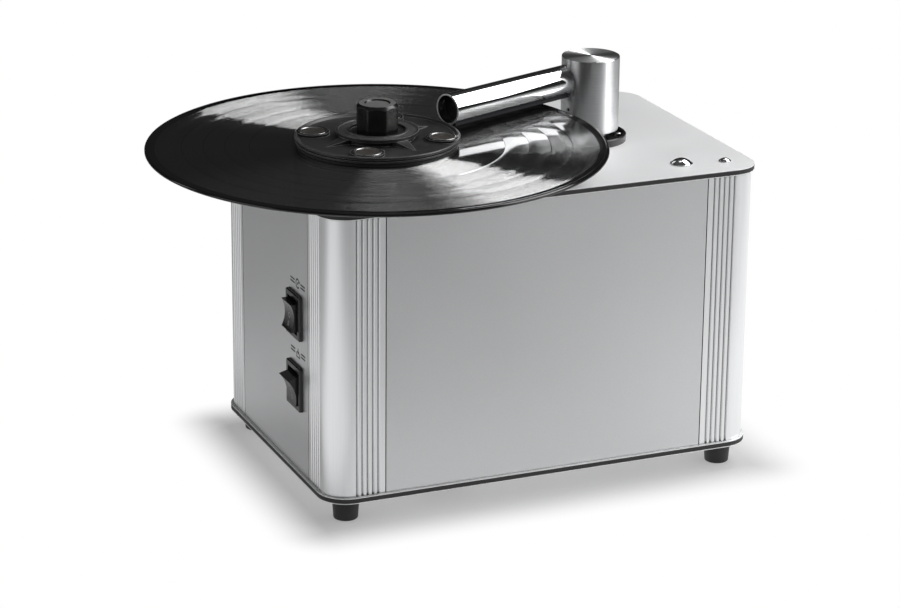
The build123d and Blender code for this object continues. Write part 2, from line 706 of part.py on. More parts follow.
def bearing_housing():
    """Flanged bearing tube through the top plate."""
    flange_top = DECK_TOP + BEARING_FLANGE
    housing = turned(
        [
            (SPINDLE_R + FIT, BEARING_LOW),
            (BEARING_R, BEARING_LOW),
            (BEARING_R, DECK_TOP),
            (BEARING_FLANGE_R, DECK_TOP),
            (BEARING_FLANGE_R, flange_top),
            (BEARING_R, flange_top),
            (BEARING_R, BEARING_TOP),
            (SPINDLE_R + FIT, BEARING_TOP),
        ]
    )
    for x, y, _ in around(BEARING_SCREW_COUNT, BEARING_SCREW_CIRCLE_R, BEARING_SCREW_FIRST):
        housing -= disc(SCREW_R + FIT, DECK_TOP, flange_top, x, y)
    return at_spindle(housing)


def thrust_washer():
    """Low friction washer between bearing and platter."""
    return at_spindle(ring(BEARING_R, SPINDLE_R + FIT, BEARING_TOP, WASHER_TOP))


def spindle():
    """Shaft with a slim threaded tip that the record and the clamp are set on."""
    shaft = disc(SPINDLE_R, SPINDLE_LOW, RECORD_LOW)
    tip = disc(SPINDLE_TIP_R, RECORD_LOW, RECORD_TOP + SPINDLE_TIP)
    tip = chamfer(tip.edges().sort_by(Axis.Z)[-1], SPINDLE_TIP_CHAMFER)
    return at_spindle(shaft + tip)


def platter():
    """Small platter with its hub."""
    low = WASHER_TOP + RUNNING_GAP
    body = turned(
        [
            (SPINDLE_R + FIT, low),
            (HUB_R, low),
            (HUB_R, PLATTER_LOW - HUB_FLARE),
            (HUB_R + HUB_FLARE, PLATTER_LOW),
            (PLATTER_R - PLATTER_CHAMFER, PLATTER_LOW),
            (PLATTER_R, PLATTER_LOW + PLATTER_CHAMFER),
            (PLATTER_R, MAT_LOW),
            (SPINDLE_R + FIT, MAT_LOW),
        ]
    )
    return at_spindle(body)


def platter_mat():
    """Rubber mat under the record's label."""
    return at_spindle(ring(PLATTER_R, SPINDLE_R + FIT, MAT_LOW, RECORD_LOW))


def record():
    """Twelve inch disc: raised bead at the edge, thinner grooved area, thicker label area."""
    sink = (RECORD_RIM - RECORD_WEB) / 2
    inner = RECORD_R - RECORD_BEAD
    step = RECORD_SLOPE
    profile = [
        (RECORD_HOLE_R, RECORD_LOW),
        (RECORD_LABEL_R, RECORD_LOW),
        (RECORD_LABEL_R + step, RECORD_LOW + sink),
        (inner - step, RECORD_LOW + sink),
        (inner, RECORD_LOW),
        (RECORD_R - step, RECORD_LOW),
        (RECORD_R, RECORD_LOW + RECORD_RIM / 2),
        (RECORD_R - step, RECORD_TOP),
        (inner, RECORD_TOP),
        (inner - step, RECORD_TOP - sink),
        (CLAMP_R + step, RECORD_TOP - sink),
        (CLAMP_R, RECORD_TOP),
        (RECORD_HOLE_R, RECORD_TOP),
    ]
    return at_spindle(turned(profile))


def shaft_coupling():
    """Sleeve that joins the spindle to the gear motor's shaft, with that shaft in it."""
    sleeve = ring(COUPLING_R, MOTOR_SHAFT_R, COUPLING_LOW, MOTOR_SHAFT_TOP)
    sleeve += ring(COUPLING_R, SPINDLE_R + FIT, MOTOR_SHAFT_TOP, COUPLING_TOP)
    widest = sleeve.edges().filter_by(GeomType.CIRCLE).sort_by(SortBy.RADIUS)[-1]
    sleeve = chamfer(widest, COUPLING_CHAMFER)
    shaft = disc(MOTOR_SHAFT_R, GEARBOX_TOP - GEARBOX / 2, MOTOR_SHAFT_TOP)
    return at_spindle(sleeve + shaft)


def gear_motor():
    """Slow gear motor: gearbox with a nose, motor can and terminals."""
    can_top = GEARBOX_TOP - GEARBOX
    can_low = can_top - MOTOR_CAN
    body = turned(
        [
            (0, can_low),
            (MOTOR_CAN_R - MOTOR_CAN_CHAMFER, can_low),
            (MOTOR_CAN_R, can_low + MOTOR_CAN_CHAMFER),
            (MOTOR_CAN_R, can_top),
            (GEARBOX_R, can_top),
            (GEARBOX_R, GEARBOX_TOP),
            (GEARBOX_NOSE_R, GEARBOX_TOP),
            (GEARBOX_NOSE_R, GEARBOX_TOP + GEARBOX_NOSE),
            (0, GEARBOX_TOP + GEARBOX_NOSE),
        ]
    )
    shaft_floor = GEARBOX_TOP - GEARBOX / 2 - RUNNING_GAP
    body -= disc(MOTOR_SHAFT_R + FIT, shaft_floor, GEARBOX_TOP + GEARBOX_NOSE)
    width, thickness, length = MOTOR_TERMINAL
    for x in (-MOTOR_CAN_R / 2, MOTOR_CAN_R / 2):
        body += block(
            (x - width / 2, x + width / 2),
            (-thickness / 2, thickness / 2),
            (can_low - length, can_low),
        )
    return at_spindle(body)


def motor_bracket():
    """Sheet metal stirrup that hangs the gear motor under the top plate."""
    half = BRACKET_WIDTH / 2
    outer = BRACKET_LEG_X + BRACKET
    seat = block((-outer, outer), (-half, half), (GEARBOX_TOP, BRACKET_TOP))
    seat -= disc(GEARBOX_NOSE_R + FIT, GEARBOX_TOP, BRACKET_TOP)
    for side in (-1, 1):
        leg = sorted((side * BRACKET_LEG_X, side * outer))
        foot = sorted((side * BRACKET_LEG_X, side * (outer + BRACKET_FOOT)))
        seat += block(leg, (-half, half), (GEARBOX_TOP, DECK_LOW))
        seat += block(foot, (-half, half), (DECK_LOW - BRACKET, DECK_LOW))
    bracket = at_spindle(seat)
    for x, y in BRACKET_SCREW_POINTS:
        bracket -= disc(SCREW_R + FIT, DECK_LOW - BRACKET, DECK_LOW, x, y)
    return bracket


def pan_screws():
    """Every pan head screw: base cup, bearing flange and motor bracket."""
    screws = [pan_screw(x, y, CUP_FLOOR_TOP) for x, y in CUP_SCREW_POINTS]
    screws += [pan_screw(x, y, DECK_TOP + BEARING_FLANGE) for x, y in BEARING_SCREW_POINTS]
    for x, y in BRACKET_SCREW_POINTS:
        head = disc(SCREW_HEAD_R, DECK_LOW - BRACKET - SCREW_HEAD, DECK_LOW - BRACKET, x, y)
        screws.append(head + disc(SCREW_R, DECK_LOW - BRACKET, DECK_TOP - SKIN - FIT, x, y))
    return Compound(children=screws)


# ------------------------------------------------------------------ record clamp
def clamp_disc():
    """Moulded clamp: ribbed edge, dished top, bosses for the steel discs, ring and gussets."""
    rim = RECORD_TOP + CLAMP_HEIGHT
    dish = rim - CLAMP_DISH
    flange_low = rim - CLAMP_TOP_FLANGE
    second_top = flange_low - CLAMP_GROOVE
    second_low = second_top - CLAMP_LOW_FLANGE
    seat = RECORD_TOP + SEAL
    hollow_in, hollow_out = CLAMP_HOLLOW_R
    bore = KNOB_STEM_R + KNOB_PLAY
    ring_sunk = RING_TOP - RING_SINK
    profile = [
        (bore, seat),
        (hollow_in, seat),
        (hollow_in, seat + CLAMP_HOLLOW_DEPTH),
        (hollow_out, seat + CLAMP_HOLLOW_DEPTH),
        (hollow_out, seat),
        (CLAMP_GROOVE_R, seat),
        (CLAMP_GROOVE_R, second_low),
        (CLAMP_FLANGE_R, second_low),
        (CLAMP_FLANGE_R, second_top),
        (CLAMP_GROOVE_R, second_top),
        (CLAMP_GROOVE_R, flange_low),
        (CLAMP_R, flange_low),
        (CLAMP_R, rim - CLAMP_RIM_CHAMFER),
        (CLAMP_R - CLAMP_RIM_CHAMFER, rim),
        (CLAMP_R - CLAMP_RIM, rim),
        (CLAMP_R - CLAMP_RIM - CLAMP_DISH, dish),
        (RING_NECK_R, dish),
        (RING_NECK_R, RECORD_TOP + RING_NECK_TOP),
        (RING_R, RECORD_TOP + RING_NECK_TOP),
        (RING_R, RING_TOP),
        (RING_R - RING_LIP, RING_TOP),
        (RING_R - RING_LIP, ring_sunk),
        (RING_WELL_R + RING_LIP, ring_sunk),
        (RING_WELL_R + RING_LIP, RING_TOP),
        (RING_WELL_R, RING_TOP),
        (RING_WELL_R, RECORD_TOP + RING_WELL_HEIGHT),
        (bore, RECORD_TOP + RING_WELL_HEIGHT),
    ]
    body = turned(profile)
    boss_top = rim + WEIGHT_BOSS_LIP
    pocket = boss_top + WEIGHT_PROUD - WEIGHT
    for x, y, _ in around(WEIGHT_COUNT, WEIGHT_CIRCLE_R, WEIGHT_FIRST):
        body += disc(WEIGHT_BOSS_R, dish - WEIGHT_BOSS_SINK, boss_top, x, y)
        body -= disc(WEIGHT_R + FIT, pocket, boss_top, x, y)
    for _, _, angle in around(WEIGHT_COUNT, WEIGHT_CIRCLE_R, WEIGHT_FIRST + 180 / WEIGHT_COUNT):
        body += Rot(0, 0, angle) * gusset(dish)
    return at_spindle(body)


def gusset(dish):
    """Brace with upright sides whose top slopes from the ring to a point on the disc."""
    half = GUSSET_WIDTH / 2
    root = RING_NECK_R - GUSSET_INTO_RING
    top = RECORD_TOP + RING_NECK_TOP
    low = dish - GUSSET_SINK
    slope = make_face(
        Polyline((root, 0, low), (GUSSET_TIP_R, 0, low), (RING_R, 0, top), (root, 0, top), close=True)
    )
    plan = make_face(Polyline((root, -half), (root, half), (GUSSET_TIP_R, 0), close=True))
    return extrude(slope, half, both=True) & Pos(0, 0, low) * extrude(plan, top - low)


def clamp_weights():
    """Steel discs pressed into the clamp's bosses."""
    top = RECORD_TOP + CLAMP_HEIGHT + WEIGHT_BOSS_LIP + WEIGHT_PROUD
    plug = disc(WEIGHT_R, top - WEIGHT, top)
    plug = chamfer(plug.edges().sort_by(Axis.Z)[-1], WEIGHT_CHAMFER)
    places = around(WEIGHT_COUNT, WEIGHT_CIRCLE_R, WEIGHT_FIRST)
    return at_spindle(Compound(children=[Pos(x, y, 0) * plug for x, y, _ in places]))


def clamp_seal():
    """Flat ring that keeps fluid off the label."""
    inner, outer = SEAL_R
    return at_spindle(ring(outer, inner, RECORD_TOP, RECORD_TOP + SEAL))


def clamp_knob():
    """Screw-down knob with flats, a conical shoulder and a shallow dish on top."""
    low = RECORD_TOP + KNOB_LOW
    head = turned(
        [
            (0, low),
            (KNOB_R, low),
            (KNOB_R, KNOB_HEAD - KNOB_CHAMFER),
            (KNOB_R - KNOB_CHAMFER, KNOB_HEAD),
            (KNOB_DISH_R, KNOB_HEAD),
            (KNOB_DISH_R - KNOB_DISH, KNOB_HEAD - KNOB_DISH),
            (0, KNOB_HEAD - KNOB_DISH),
        ]
    )
    prism = RegularPolygon(KNOB_FLAT_R, KNOB_FLAT_COUNT, major_radius=False)
    prism = fillet(prism.vertices(), KNOB_EDGE_R)
    head &= Pos(0, 0, low) * extrude(prism, KNOB_HEAD - low)
    head += disc(KNOB_STEM_R, RECORD_TOP + KNOB_STEM_LOW, low)
    insert_top = RECORD_TOP + KNOB_STEM_LOW + KNOB_INSERT
    head -= disc(KNOB_INSERT_R + FIT, RECORD_TOP + KNOB_STEM_LOW, insert_top)
    return at_spindle(head)


def knob_insert():
    """Brass nut in the knob that runs on the spindle's thread."""
    low = RECORD_TOP + KNOB_STEM_LOW
    return at_spindle(ring(KNOB_INSERT_R, KNOB_BORE_R, low, low + KNOB_INSERT))


# ------------------------------------------------------------------ suction arm
def at_column(shape):
    """Move a piece from its own axis to the arm column's."""
    return Pos(ARM_X, ARM_Y, 0) * shape


def along_arm(shape):
    """Turn a piece laid out along +X to the arm's direction, set back from the column's axis."""
    return at_column(Rot(0, 0, ARM_ANGLE) * Pos(0, -ARM_OFFSET, 0) * shape)


def rod_x(radius, low, high, z):
    """A round bar along X."""
    bar = Cylinder(radius, high - low, align=(Align.CENTER, Align.CENTER, Align.MIN))
    return Pos(low, 0, z) * Rot(0, 90, 0) * bar


def base_cup():
    """Shallow cup that the column stands in."""
    inner = CUP_R - CUP_WALL
    cup = turned(
        [
            (PIPE_R + FIT, DECK_TOP),
            (CUP_R, DECK_TOP),
            (CUP_R, DECK_TOP + CUP_HEIGHT - CUP_CHAMFER),
            (CUP_R - CUP_CHAMFER, DECK_TOP + CUP_HEIGHT),
            (inner, DECK_TOP + CUP_HEIGHT),
            (inner, CUP_FLOOR_TOP),
            (PIPE_R + FIT, CUP_FLOOR_TOP),
        ]
    )
    for x, y, _ in around(CUP_SCREW_COUNT, CUP_SCREW_CIRCLE_R, CUP_SCREW_FIRST):
        cup -= disc(SCREW_R + FIT, DECK_TOP, CUP_FLOOR_TOP, x, y)
    return at_column(cup)


def suction_pipe():
    """Fixed pipe from the tank up into the column, with a flange under the top plate."""
    pipe = disc(PIPE_R, PIPE_LOW, DECK_TOP + PIPE_TOP)
    pipe += disc(CUP_R, DECK_LOW - PIPE_FLANGE, DECK_LOW)
    pipe -= disc(PIPE_R - PIPE_WALL, PIPE_LOW, DECK_TOP + PIPE_TOP)
    for x, y, _ in around(CUP_SCREW_COUNT, CUP_SCREW_CIRCLE_R, CUP_SCREW_FIRST):
        pipe -= disc(SCREW_R + FIT, DECK_LOW - PIPE_FLANGE, DECK_LOW, x, y)
    return at_column(pipe)


def lift_bush():
    """Bush that slides on the pipe and lets the column swivel; the set screw runs in its groove."""
    outer = COLUMN_BORE_R - FIT
    half = BUSH_GROOVE / 2
    floor = outer - BUSH_GROOVE_DEPTH
    bush = turned(
        [
            (PIPE_R + FIT, BUSH_BOTTOM),
            (outer, BUSH_BOTTOM),
            (outer, SET_SCREW_Z - half),
            (floor, SET_SCREW_Z - half),
            (floor, SET_SCREW_Z + half),
            (outer, SET_SCREW_Z + half),
            (outer, BUSH_TOP),
            (PIPE_R + FIT, BUSH_TOP),
        ]
    )
    return at_column(bush)


def arm_spring():
    """Compression spring that lifts the arm off the record."""
    low = CUP_FLOOR_TOP + SPRING_WIRE_R + RUNNING_GAP
    high = BUSH_BOTTOM - SPRING_WIRE_R - RUNNING_GAP
    path = Helix(pitch=(high - low) / SPRING_TURNS, height=high - low, radius=SPRING_R)
    wire = RegularPolygon(SPRING_WIRE_R, SPRING_WIRE_SIDES)
    section = Plane(origin=path @ 0, z_dir=path % 0) * wire
    coil = sweep(section, path, is_frenet=True)
    return at_column(Pos(0, 0, low) * coil)


def arm_column():
    """Turned aluminium column: bore for the bush, air chamber above, hole for the tube."""
    column = turned(
        [
            (COLUMN_BORE_R, COLUMN_LOW),
            (COLUMN_R - COLUMN_EDGE, COLUMN_LOW),
            (COLUMN_R, COLUMN_LOW + COLUMN_EDGE),
            (COLUMN_R, COLUMN_HEAD - COLUMN_EDGE),
            (COLUMN_R - COLUMN_EDGE, COLUMN_HEAD),
            (0, COLUMN_HEAD),
            (0, COLUMN_HEAD - COLUMN_CAP),
            (COLUMN_CHAMBER_R, COLUMN_HEAD - COLUMN_CAP),
            (COLUMN_CHAMBER_R, BUSH_TOP),
            (COLUMN_BORE_R, BUSH_TOP),
        ]
    )
    hole = rod_x(TUBE_R + FIT, TUBE_ROOT - 1, COLUMN_R + 1, ARM_AXIS)
    column = at_column(column) - along_arm(hole)
    screw_hole = rod_x(SET_SCREW_R + FIT, COLUMN_BORE_R - 1, COLUMN_R + 1, SET_SCREW_Z)
    return column - at_column(Rot(0, 0, SET_SCREW_ANGLE) * screw_hole)


def arm_set_screw():
    """Set screw whose tip runs in the bush's groove."""
    floor = COLUMN_BORE_R - FIT - BUSH_GROOVE_DEPTH
    screw = rod_x(SET_SCREW_R, floor + SET_SCREW_PLAY, COLUMN_R - SET_SCREW_SINK, SET_SCREW_Z)
    return at_column(Rot(0, 0, SET_SCREW_ANGLE) * screw)


def arm_tube():
    """Suction tube with a slot along its underside."""
    tube = rod_x(TUBE_R, TUBE_ROOT, TUBE_REACH, ARM_AXIS)
    tube -= rod_x(TUBE_R - TUBE_WALL, TUBE_ROOT, TUBE_REACH, ARM_AXIS)
    half = SLOT_WIDTH / 2
    tube -= block(
        (SLOT_START, TUBE_REACH - SLOT_END), (-half, half), (ARM_AXIS - TUBE_R - 1, ARM_AXIS)
    )
    return along_arm(tube)


def arm_lips():
    """Felt lips on both sides of the slot."""
    start, end = LIP_ANGLES
    inner = TUBE_R + FIT
    outer = inner + LIP
    lips = []
    for side in (-1, 1):
        points = {
            (radius, angle): (
                LIP_START,
                side * radius * sin(radians(angle)),
                ARM_AXIS - radius * cos(radians(angle)),
            )
            for radius in (inner, outer)
            for angle in (start, (start + end) / 2, end)
        }
        middle = (start + end) / 2
        outline = [
            ThreePointArc(points[inner, start], points[inner, middle], points[inner, end]),
            Line(points[inner, end], points[outer, end]),
            ThreePointArc(points[outer, end], points[outer, middle], points[outer, start]),
            Line(points[outer, start], points[inner, start]),
        ]
        face = make_face(Curve() + outline)
        lips.append(extrude(face, TUBE_REACH - LIP_END - LIP_START, dir=(1, 0, 0)))
    return along_arm(Compound(children=lips))


def arm_end_plug():
    """Plug that closes the tube, set back from its free end."""
    outer = TUBE_REACH - PLUG_RECESS
    return along_arm(rod_x(TUBE_R - TUBE_WALL - FIT, outer - PLUG, outer, ARM_AXIS))


# ------------------------------------------------------------------ small fittings
def dome(radius, height, low):
    """A low round head: the top of a sphere."""
    sphere_r = (radius**2 + height**2) / (2 * height)
    ball = Pos(0, 0, low + height - sphere_r) * Sphere(sphere_r)
    return ball & disc(radius, low, low + height)


def vent_cap():
    """Domed cap on a hollow stem, with its nut under the top plate."""
    cap = dome(VENT_R, VENT_HEIGHT, DECK_TOP)
    cap += disc(VENT_STEM_R, DECK_LOW - VENT_NUT, DECK_TOP)
    nut = extrude(RegularPolygon(VENT_NUT_R, 6), VENT_NUT)
    cap += Pos(0, 0, DECK_LOW - VENT_NUT) * nut
    return Pos(VENT_X, VENT_Y, 0) * cap


def dome_screw():
    """Small domed screw through the top plate."""
    screw = dome(DOME_R, DOME_HEIGHT, DECK_TOP)
    screw += disc(DOME_SHANK_R, DECK_TOP - DOME_SHANK, DECK_TOP)
    return Pos(DOME_X, DOME_Y, 0) * screw


# ------------------------------------------------------------------ switches
def switch_body():
    """Bezel and housing of a rocker switch; its middle is at the origin and it faces -X."""
    bezel = Pos(-BEZEL, 0, 0) * Rot(0, 90, 0) * extrude(
        RectangleRounded(BEZEL_HEIGHT, BEZEL_WIDTH, BEZEL_CORNER_R), BEZEL
    )
    bezel = chamfer(bezel.faces().sort_by(Axis.X)[0].edges(), BEZEL_CHAMFER)
    half_w = SWITCH_BODY_WIDTH / 2
    half_h = SWITCH_BODY_HEIGHT / 2
    body = bezel + block((0, SWITCH_BODY), (-half_w, half_w), (-half_h, half_h))
    body -= block(
        (-BEZEL, WELL_FLOOR), (-WELL_WIDTH / 2, WELL_WIDTH / 2), (-WELL_HEIGHT / 2, WELL_HEIGHT / 2)
    )
    pin_half = WELL_WIDTH / 2 + PIVOT_PIN_REACH
    return body - rod_y(PIVOT_PIN_R + FIT, -pin_half, pin_half, ROCKER_PIVOT, 0)


def rocker(tilt):
    """Rocker with a hollow face and a round back, turned by tilt degrees about its pins."""
    tip = -BEZEL - ROCKER_TIP - ROCKER_PIVOT
    hollow = tip + ROCKER_DIP
    back = ROCKER_BACK_R
    outline = [
        ThreePointArc((tip, 0, ROCKER_HALF), (hollow, 0, 0), (tip, 0, -ROCKER_HALF)),
        Polyline(
            (tip, 0, -ROCKER_HALF),
            (0, 0, -ROCKER_HALF),
            (back * sin(pi / 4), 0, -back * cos(pi / 4)),
        ),
        ThreePointArc(
            (back * sin(pi / 4), 0, -back * cos(pi / 4)),
            (back, 0, 0),
            (back * sin(pi / 4), 0, back * cos(pi / 4)),
        ),
        Polyline(
            (back * sin(pi / 4), 0, back * cos(pi / 4)),
            (0, 0, ROCKER_HALF),
            (tip, 0, ROCKER_HALF),
        ),
    ]
    half = WELL_WIDTH / 2 - ROCKER_SIDE_GAP
    body = extrude(make_face(Curve() + outline), half, both=True)
    pin_half = WELL_WIDTH / 2 + PIVOT_PIN_REACH - FIT
    body += rod_y(PIVOT_PIN_R, -pin_half, pin_half, 0, 0)
    return Pos(ROCKER_PIVOT, 0, 0) * Rot(0, tilt, 0) * body


def at_switch(shape, drop):
    """Move a switch piece to its place on the left panel."""
    return Pos(LEFT_FACE, SWITCH_Y, DECK_TOP - drop) * shape


def switch_terminals():
    """Terminal tabs behind both switches."""
    depth, thickness, width = TERMINAL
    tabs = []
    for drop, count in ((MOTOR_SWITCH_DROP, 3), (VACUUM_SWITCH_DROP, 2)):
        for index in range(count):
            z = (index - (count - 1) / 2) * TERMINAL_SPACING
            tab = block(
                (SWITCH_BODY, SWITCH_BODY + depth),
                (-width / 2, width / 2),
                (z - thickness / 2, z + thickness / 2),
            )
            tabs.append(at_switch(tab, drop))
    return Compound(children=tabs)


# ------------------------------------------------------------------ rear fittings
def mains_inlet():
    """Appliance inlet with an open socket cavity."""
    width, tall, thick = INLET_FLANGE
    flange = block((-width / 2, width / 2), (0, thick), (-tall / 2, tall / 2))
    flange = fillet(flange.edges().filter_by(Axis.Y), INLET_CORNER_R)
    body_w, body_h, body_d = INLET_BODY
    inlet = flange + block((-body_w / 2, body_w / 2), (-body_d, 0), (-body_h / 2, body_h / 2))
    cavity_w, cavity_h, cavity_d = INLET_CAVITY
    cavity = block(
        (-cavity_w / 2, cavity_w / 2), (thick - cavity_d, thick), (-cavity_h / 2, cavity_h / 2)
    )
    upper = [edge for edge in cavity.edges().filter_by(Axis.Y) if edge.center().Z > 0]
    cavity = chamfer(upper, INLET_CAVITY_CUT)
    blade_w, blade_h = PIN_BLADE
    for x, z in inlet_pin_places():
        cavity += block(
            (x - blade_w / 2 - FIT, x + blade_w / 2 + FIT),
            (-body_d, 0),
            (z - blade_h / 2 - FIT, z + blade_h / 2 + FIT),
        )
    return Pos(INLET_X, REAR_FACE, INLET_Z) * (inlet - cavity)


def inlet_pin_places():
    """Line, neutral and earth, as (x, z) in the inlet."""
    return [(-PIN_SPREAD, PIN_LOW), (PIN_SPREAD, PIN_LOW), (0.0, PIN_HIGH)]


def inlet_pins():
    """Three contact blades of the inlet, with solder tails behind it."""
    _, _, thick = INLET_FLANGE
    _, _, body_d = INLET_BODY
    _, _, cavity_d = INLET_CAVITY
    blade_w, blade_h = PIN_BLADE
    pins = []
    for x, z in inlet_pin_places():
        pins.append(
            block(
                (x - blade_w / 2, x + blade_w / 2),
                (-body_d - PIN_TAIL, thick - cavity_d + PIN_REACH),
                (z - blade_h / 2, z + blade_h / 2),
            )
        )
    return Pos(INLET_X, REAR_FACE, INLET_Z) * Compound(children=pins)


def drain_spigot():
    """Drain nozzle from the tank's rear wall out through the rear panel."""
    bore = SPIGOT_R - SPIGOT_WALL
    root = TANK_REAR - TANK_WALL
    spigot = rod_y(SPIGOT_R, root, SPIGOT_END, SPIGOT_X, SPIGOT_Z)
    spigot += rod_y(SPIGOT_FLANGE_R, TANK_REAR, TANK_REAR + SPIGOT_FLANGE, SPIGOT_X, SPIGOT_Z)
    return spigot - rod_y(bore, root, SPIGOT_END, SPIGOT_X, SPIGOT_Z)


def drain_cap():
    """Push-on cap with grip ribs."""
    mouth = SPIGOT_END - CAP_DEPTH
    outer = SPIGOT_R + CAP_PLAY + CAP_WALL
    cap = rod_y(outer, mouth, CAP_END, 0, 0)
    for x, z, _ in around(CAP_RIB_COUNT, outer):
        cap += rod_y(CAP_RIB_R, mouth, CAP_END - CAP_RIB_SETBACK, x, z)
    cap -= rod_y(SPIGOT_R + CAP_PLAY, mouth, SPIGOT_END + RUNNING_GAP, 0, 0)
    return Pos(SPIGOT_X, 0, SPIGOT_Z) * cap


# ------------------------------------------------------------------ inside
def tank_outline(grow):
    """Plan of the tank, grown or shrunk on every side."""
    return RectangleRounded(
        TANK_LENGTH + 2 * grow, TANK_DEPTH + 2 * grow, TANK_CORNER_R + grow
    )


def waste_tank():
    """Open box with rounded corners that collects the used fluid."""
    outer = extrude(tank_outline(0.0), TANK_HEIGHT)
    inner = Pos(0, 0, TANK_WALL) * extrude(tank_outline(-TANK_WALL), TANK_HEIGHT)
    tank = Pos(TANK_MIDDLE, 0, BASE_TOP) * (outer - inner)
    return tank - rod_y(SPIGOT_R + FIT, TANK_REAR - TANK_WALL, TANK_REAR, SPIGOT_X, SPIGOT_Z)


def tank_lid():
    """Lid with a skirt inside the tank and collars for the pipe and the hose."""
    cover = Pos(TANK_MIDDLE, 0, TANK_TOP) * extrude(tank_outline(LID_OVERHANG), LID)
    skirt_out = -TANK_WALL - SLACK
    skirt = extrude(tank_outline(skirt_out), LID_SKIRT)
    skirt -= extrude(tank_outline(skirt_out - TANK_WALL), LID_SKIRT)
    lid = cover + Pos(TANK_MIDDLE, 0, TANK_TOP - LID_SKIRT) * skirt
    collar_top = LID_TOP + LID_COLLAR
    for radius, x, y in ((PIPE_R, ARM_X, ARM_Y), (HOSE_R, HOSE_PORT_X, HOSE_PORT_Y)):
        lid += disc(radius + LID_COLLAR_WALL, LID_TOP, collar_top, x, y)
        lid -= disc(radius + FIT, TANK_TOP, collar_top, x, y)
    return lid


def suction_hose():
    """Hose from the tank's lid over to the fan housing's inlet."""
    points = [
        (HOSE_PORT_X, HOSE_PORT_Y, TANK_TOP),
        (HOSE_PORT_X, HOSE_PORT_Y, HOSE_CROWN),
        (BLOWER_X, BLOWER_Y, HOSE_CROWN),
        (BLOWER_X, BLOWER_Y, blower_top()),
    ]
    path = FilletPolyline(*points, radius=HOSE_BEND_R)
    start = Plane(origin=points[0], z_dir=(0, 0, 1))
    section = start * (Circle(HOSE_R) - Circle(HOSE_R - HOSE_WALL))
    return sweep(section, path)


def blower_top():
    """Upper face of the fan housing."""
    return BLOWER_LOW + BLOWER_HEIGHT


def blower_housing():
    """Flat round fan housing with an inlet collar above and an outlet towards the rear."""
    inner = BLOWER_R - BLOWER_WALL
    low = BLOWER_LOW
    top = blower_top()
    near, width = BLOWER_OUTLET
    reach = BLOWER_R + BLOWER_OUTLET_REACH
    outlet = block((near, near + width), (0, reach), (low, top))
    hollow = block(
        (near + BLOWER_WALL, near + width - BLOWER_WALL),
        (0, reach),
        (low + BLOWER_WALL, top - BLOWER_WALL),
    )
    body = disc(BLOWER_R, low, top) + outlet
    body -= hollow
    body -= disc(inner, low + BLOWER_WALL, top - BLOWER_WALL)
    body -= disc(BLOWER_EYE_R, top - BLOWER_WALL, top)
    body += ring(HOSE_R + FIT + LID_COLLAR_WALL, HOSE_R + FIT, top, top + BLOWER_COLLAR)
    body += ring(BLOWER_EYE_R + BLOWER_EYE_WALL, HOSE_R + FIT, top - BLOWER_WALL, top)
    body -= disc(FAN_SHAFT_R + 2 * SLACK, low, low + BLOWER_WALL)
    return Pos(BLOWER_X, BLOWER_Y, 0) * body


def blower_impeller():
    """Centrifugal impeller: back plate, hub and backward curved blades on the motor's shaft."""
    low = BLOWER_LOW + IMPELLER_LOW
    blade_low = low + IMPELLER_BACK
    body = disc(IMPELLER_R, low, blade_low)
    body += disc(IMPELLER_HUB_R, blade_low, blade_low + IMPELLER_HUB)
    half = IMPELLER_BLADE_WALL / 2
    blade = extrude(blade_section(half), IMPELLER_BLADE)
    for _, _, angle in around(IMPELLER_BLADE_COUNT, IMPELLER_R):
        body += Pos(0, 0, blade_low) * Rot(0, 0, angle) * blade
    body += disc(FAN_SHAFT_R, BLOWER_LOW - IMPELLER_LOW, low)
    return Pos(BLOWER_X, BLOWER_Y, 0) * body


def blade_section(half):
    """Plan of one curved blade, from the eye to the rim."""
    start = IMPELLER_EYE_R
    end = IMPELLER_R - IMPELLER_TIP_GAP
    middle = (start + end) / 2
    sweep_back = radians(IMPELLER_SWEEP)
    share = IMPELLER_MIDDLE_SWEEP

    def point(radius, share, side):
        angle = -sweep_back * share
        return ((radius + side) * cos(angle), (radius + side) * sin(angle))

    inner = [point(start, 0, 0), point(middle, share, -half), point(end, 1, -2 * half)]
    outer = [point(end, 1, 0), point(middle, share, half), point(start, 0, 2 * half)]
    outline = [
        ThreePointArc(*inner),
        Line(inner[-1], outer[0]),
        ThreePointArc(*outer),
        Line(outer[-1], inner[0]),
    ]
    return make_face(Curve() + outline)


def blower_motor():
    """Fan motor can under the housing, on its rubber ring."""
    low = BASE_TOP + FAN_MOTOR_FOOT
    body = turned(
        [
            (0, low),
            (FAN_MOTOR_R - FAN_MOTOR_CHAMFER, low),
            (FAN_MOTOR_R, low + FAN_MOTOR_CHAMFER),
            (FAN_MOTOR_R, BLOWER_LOW),
            (FAN_SHAFT_R + SLACK, BLOWER_LOW),
            (FAN_SHAFT_R + SLACK, BLOWER_LOW - IMPELLER_LOW - RUNNING_GAP),
            (0, BLOWER_LOW - IMPELLER_LOW - RUNNING_GAP),
        ]
    )
    return Pos(BLOWER_X, BLOWER_Y, 0) * body


def blower_foot():
    """Rubber ring under the fan motor."""
    outer = FAN_MOTOR_R - FAN_MOTOR_CHAMFER
    low = BASE_TOP
    return ring(outer, outer - FAN_FOOT_WALL, low, low + FAN_MOTOR_FOOT, BLOWER_X, BLOWER_Y)


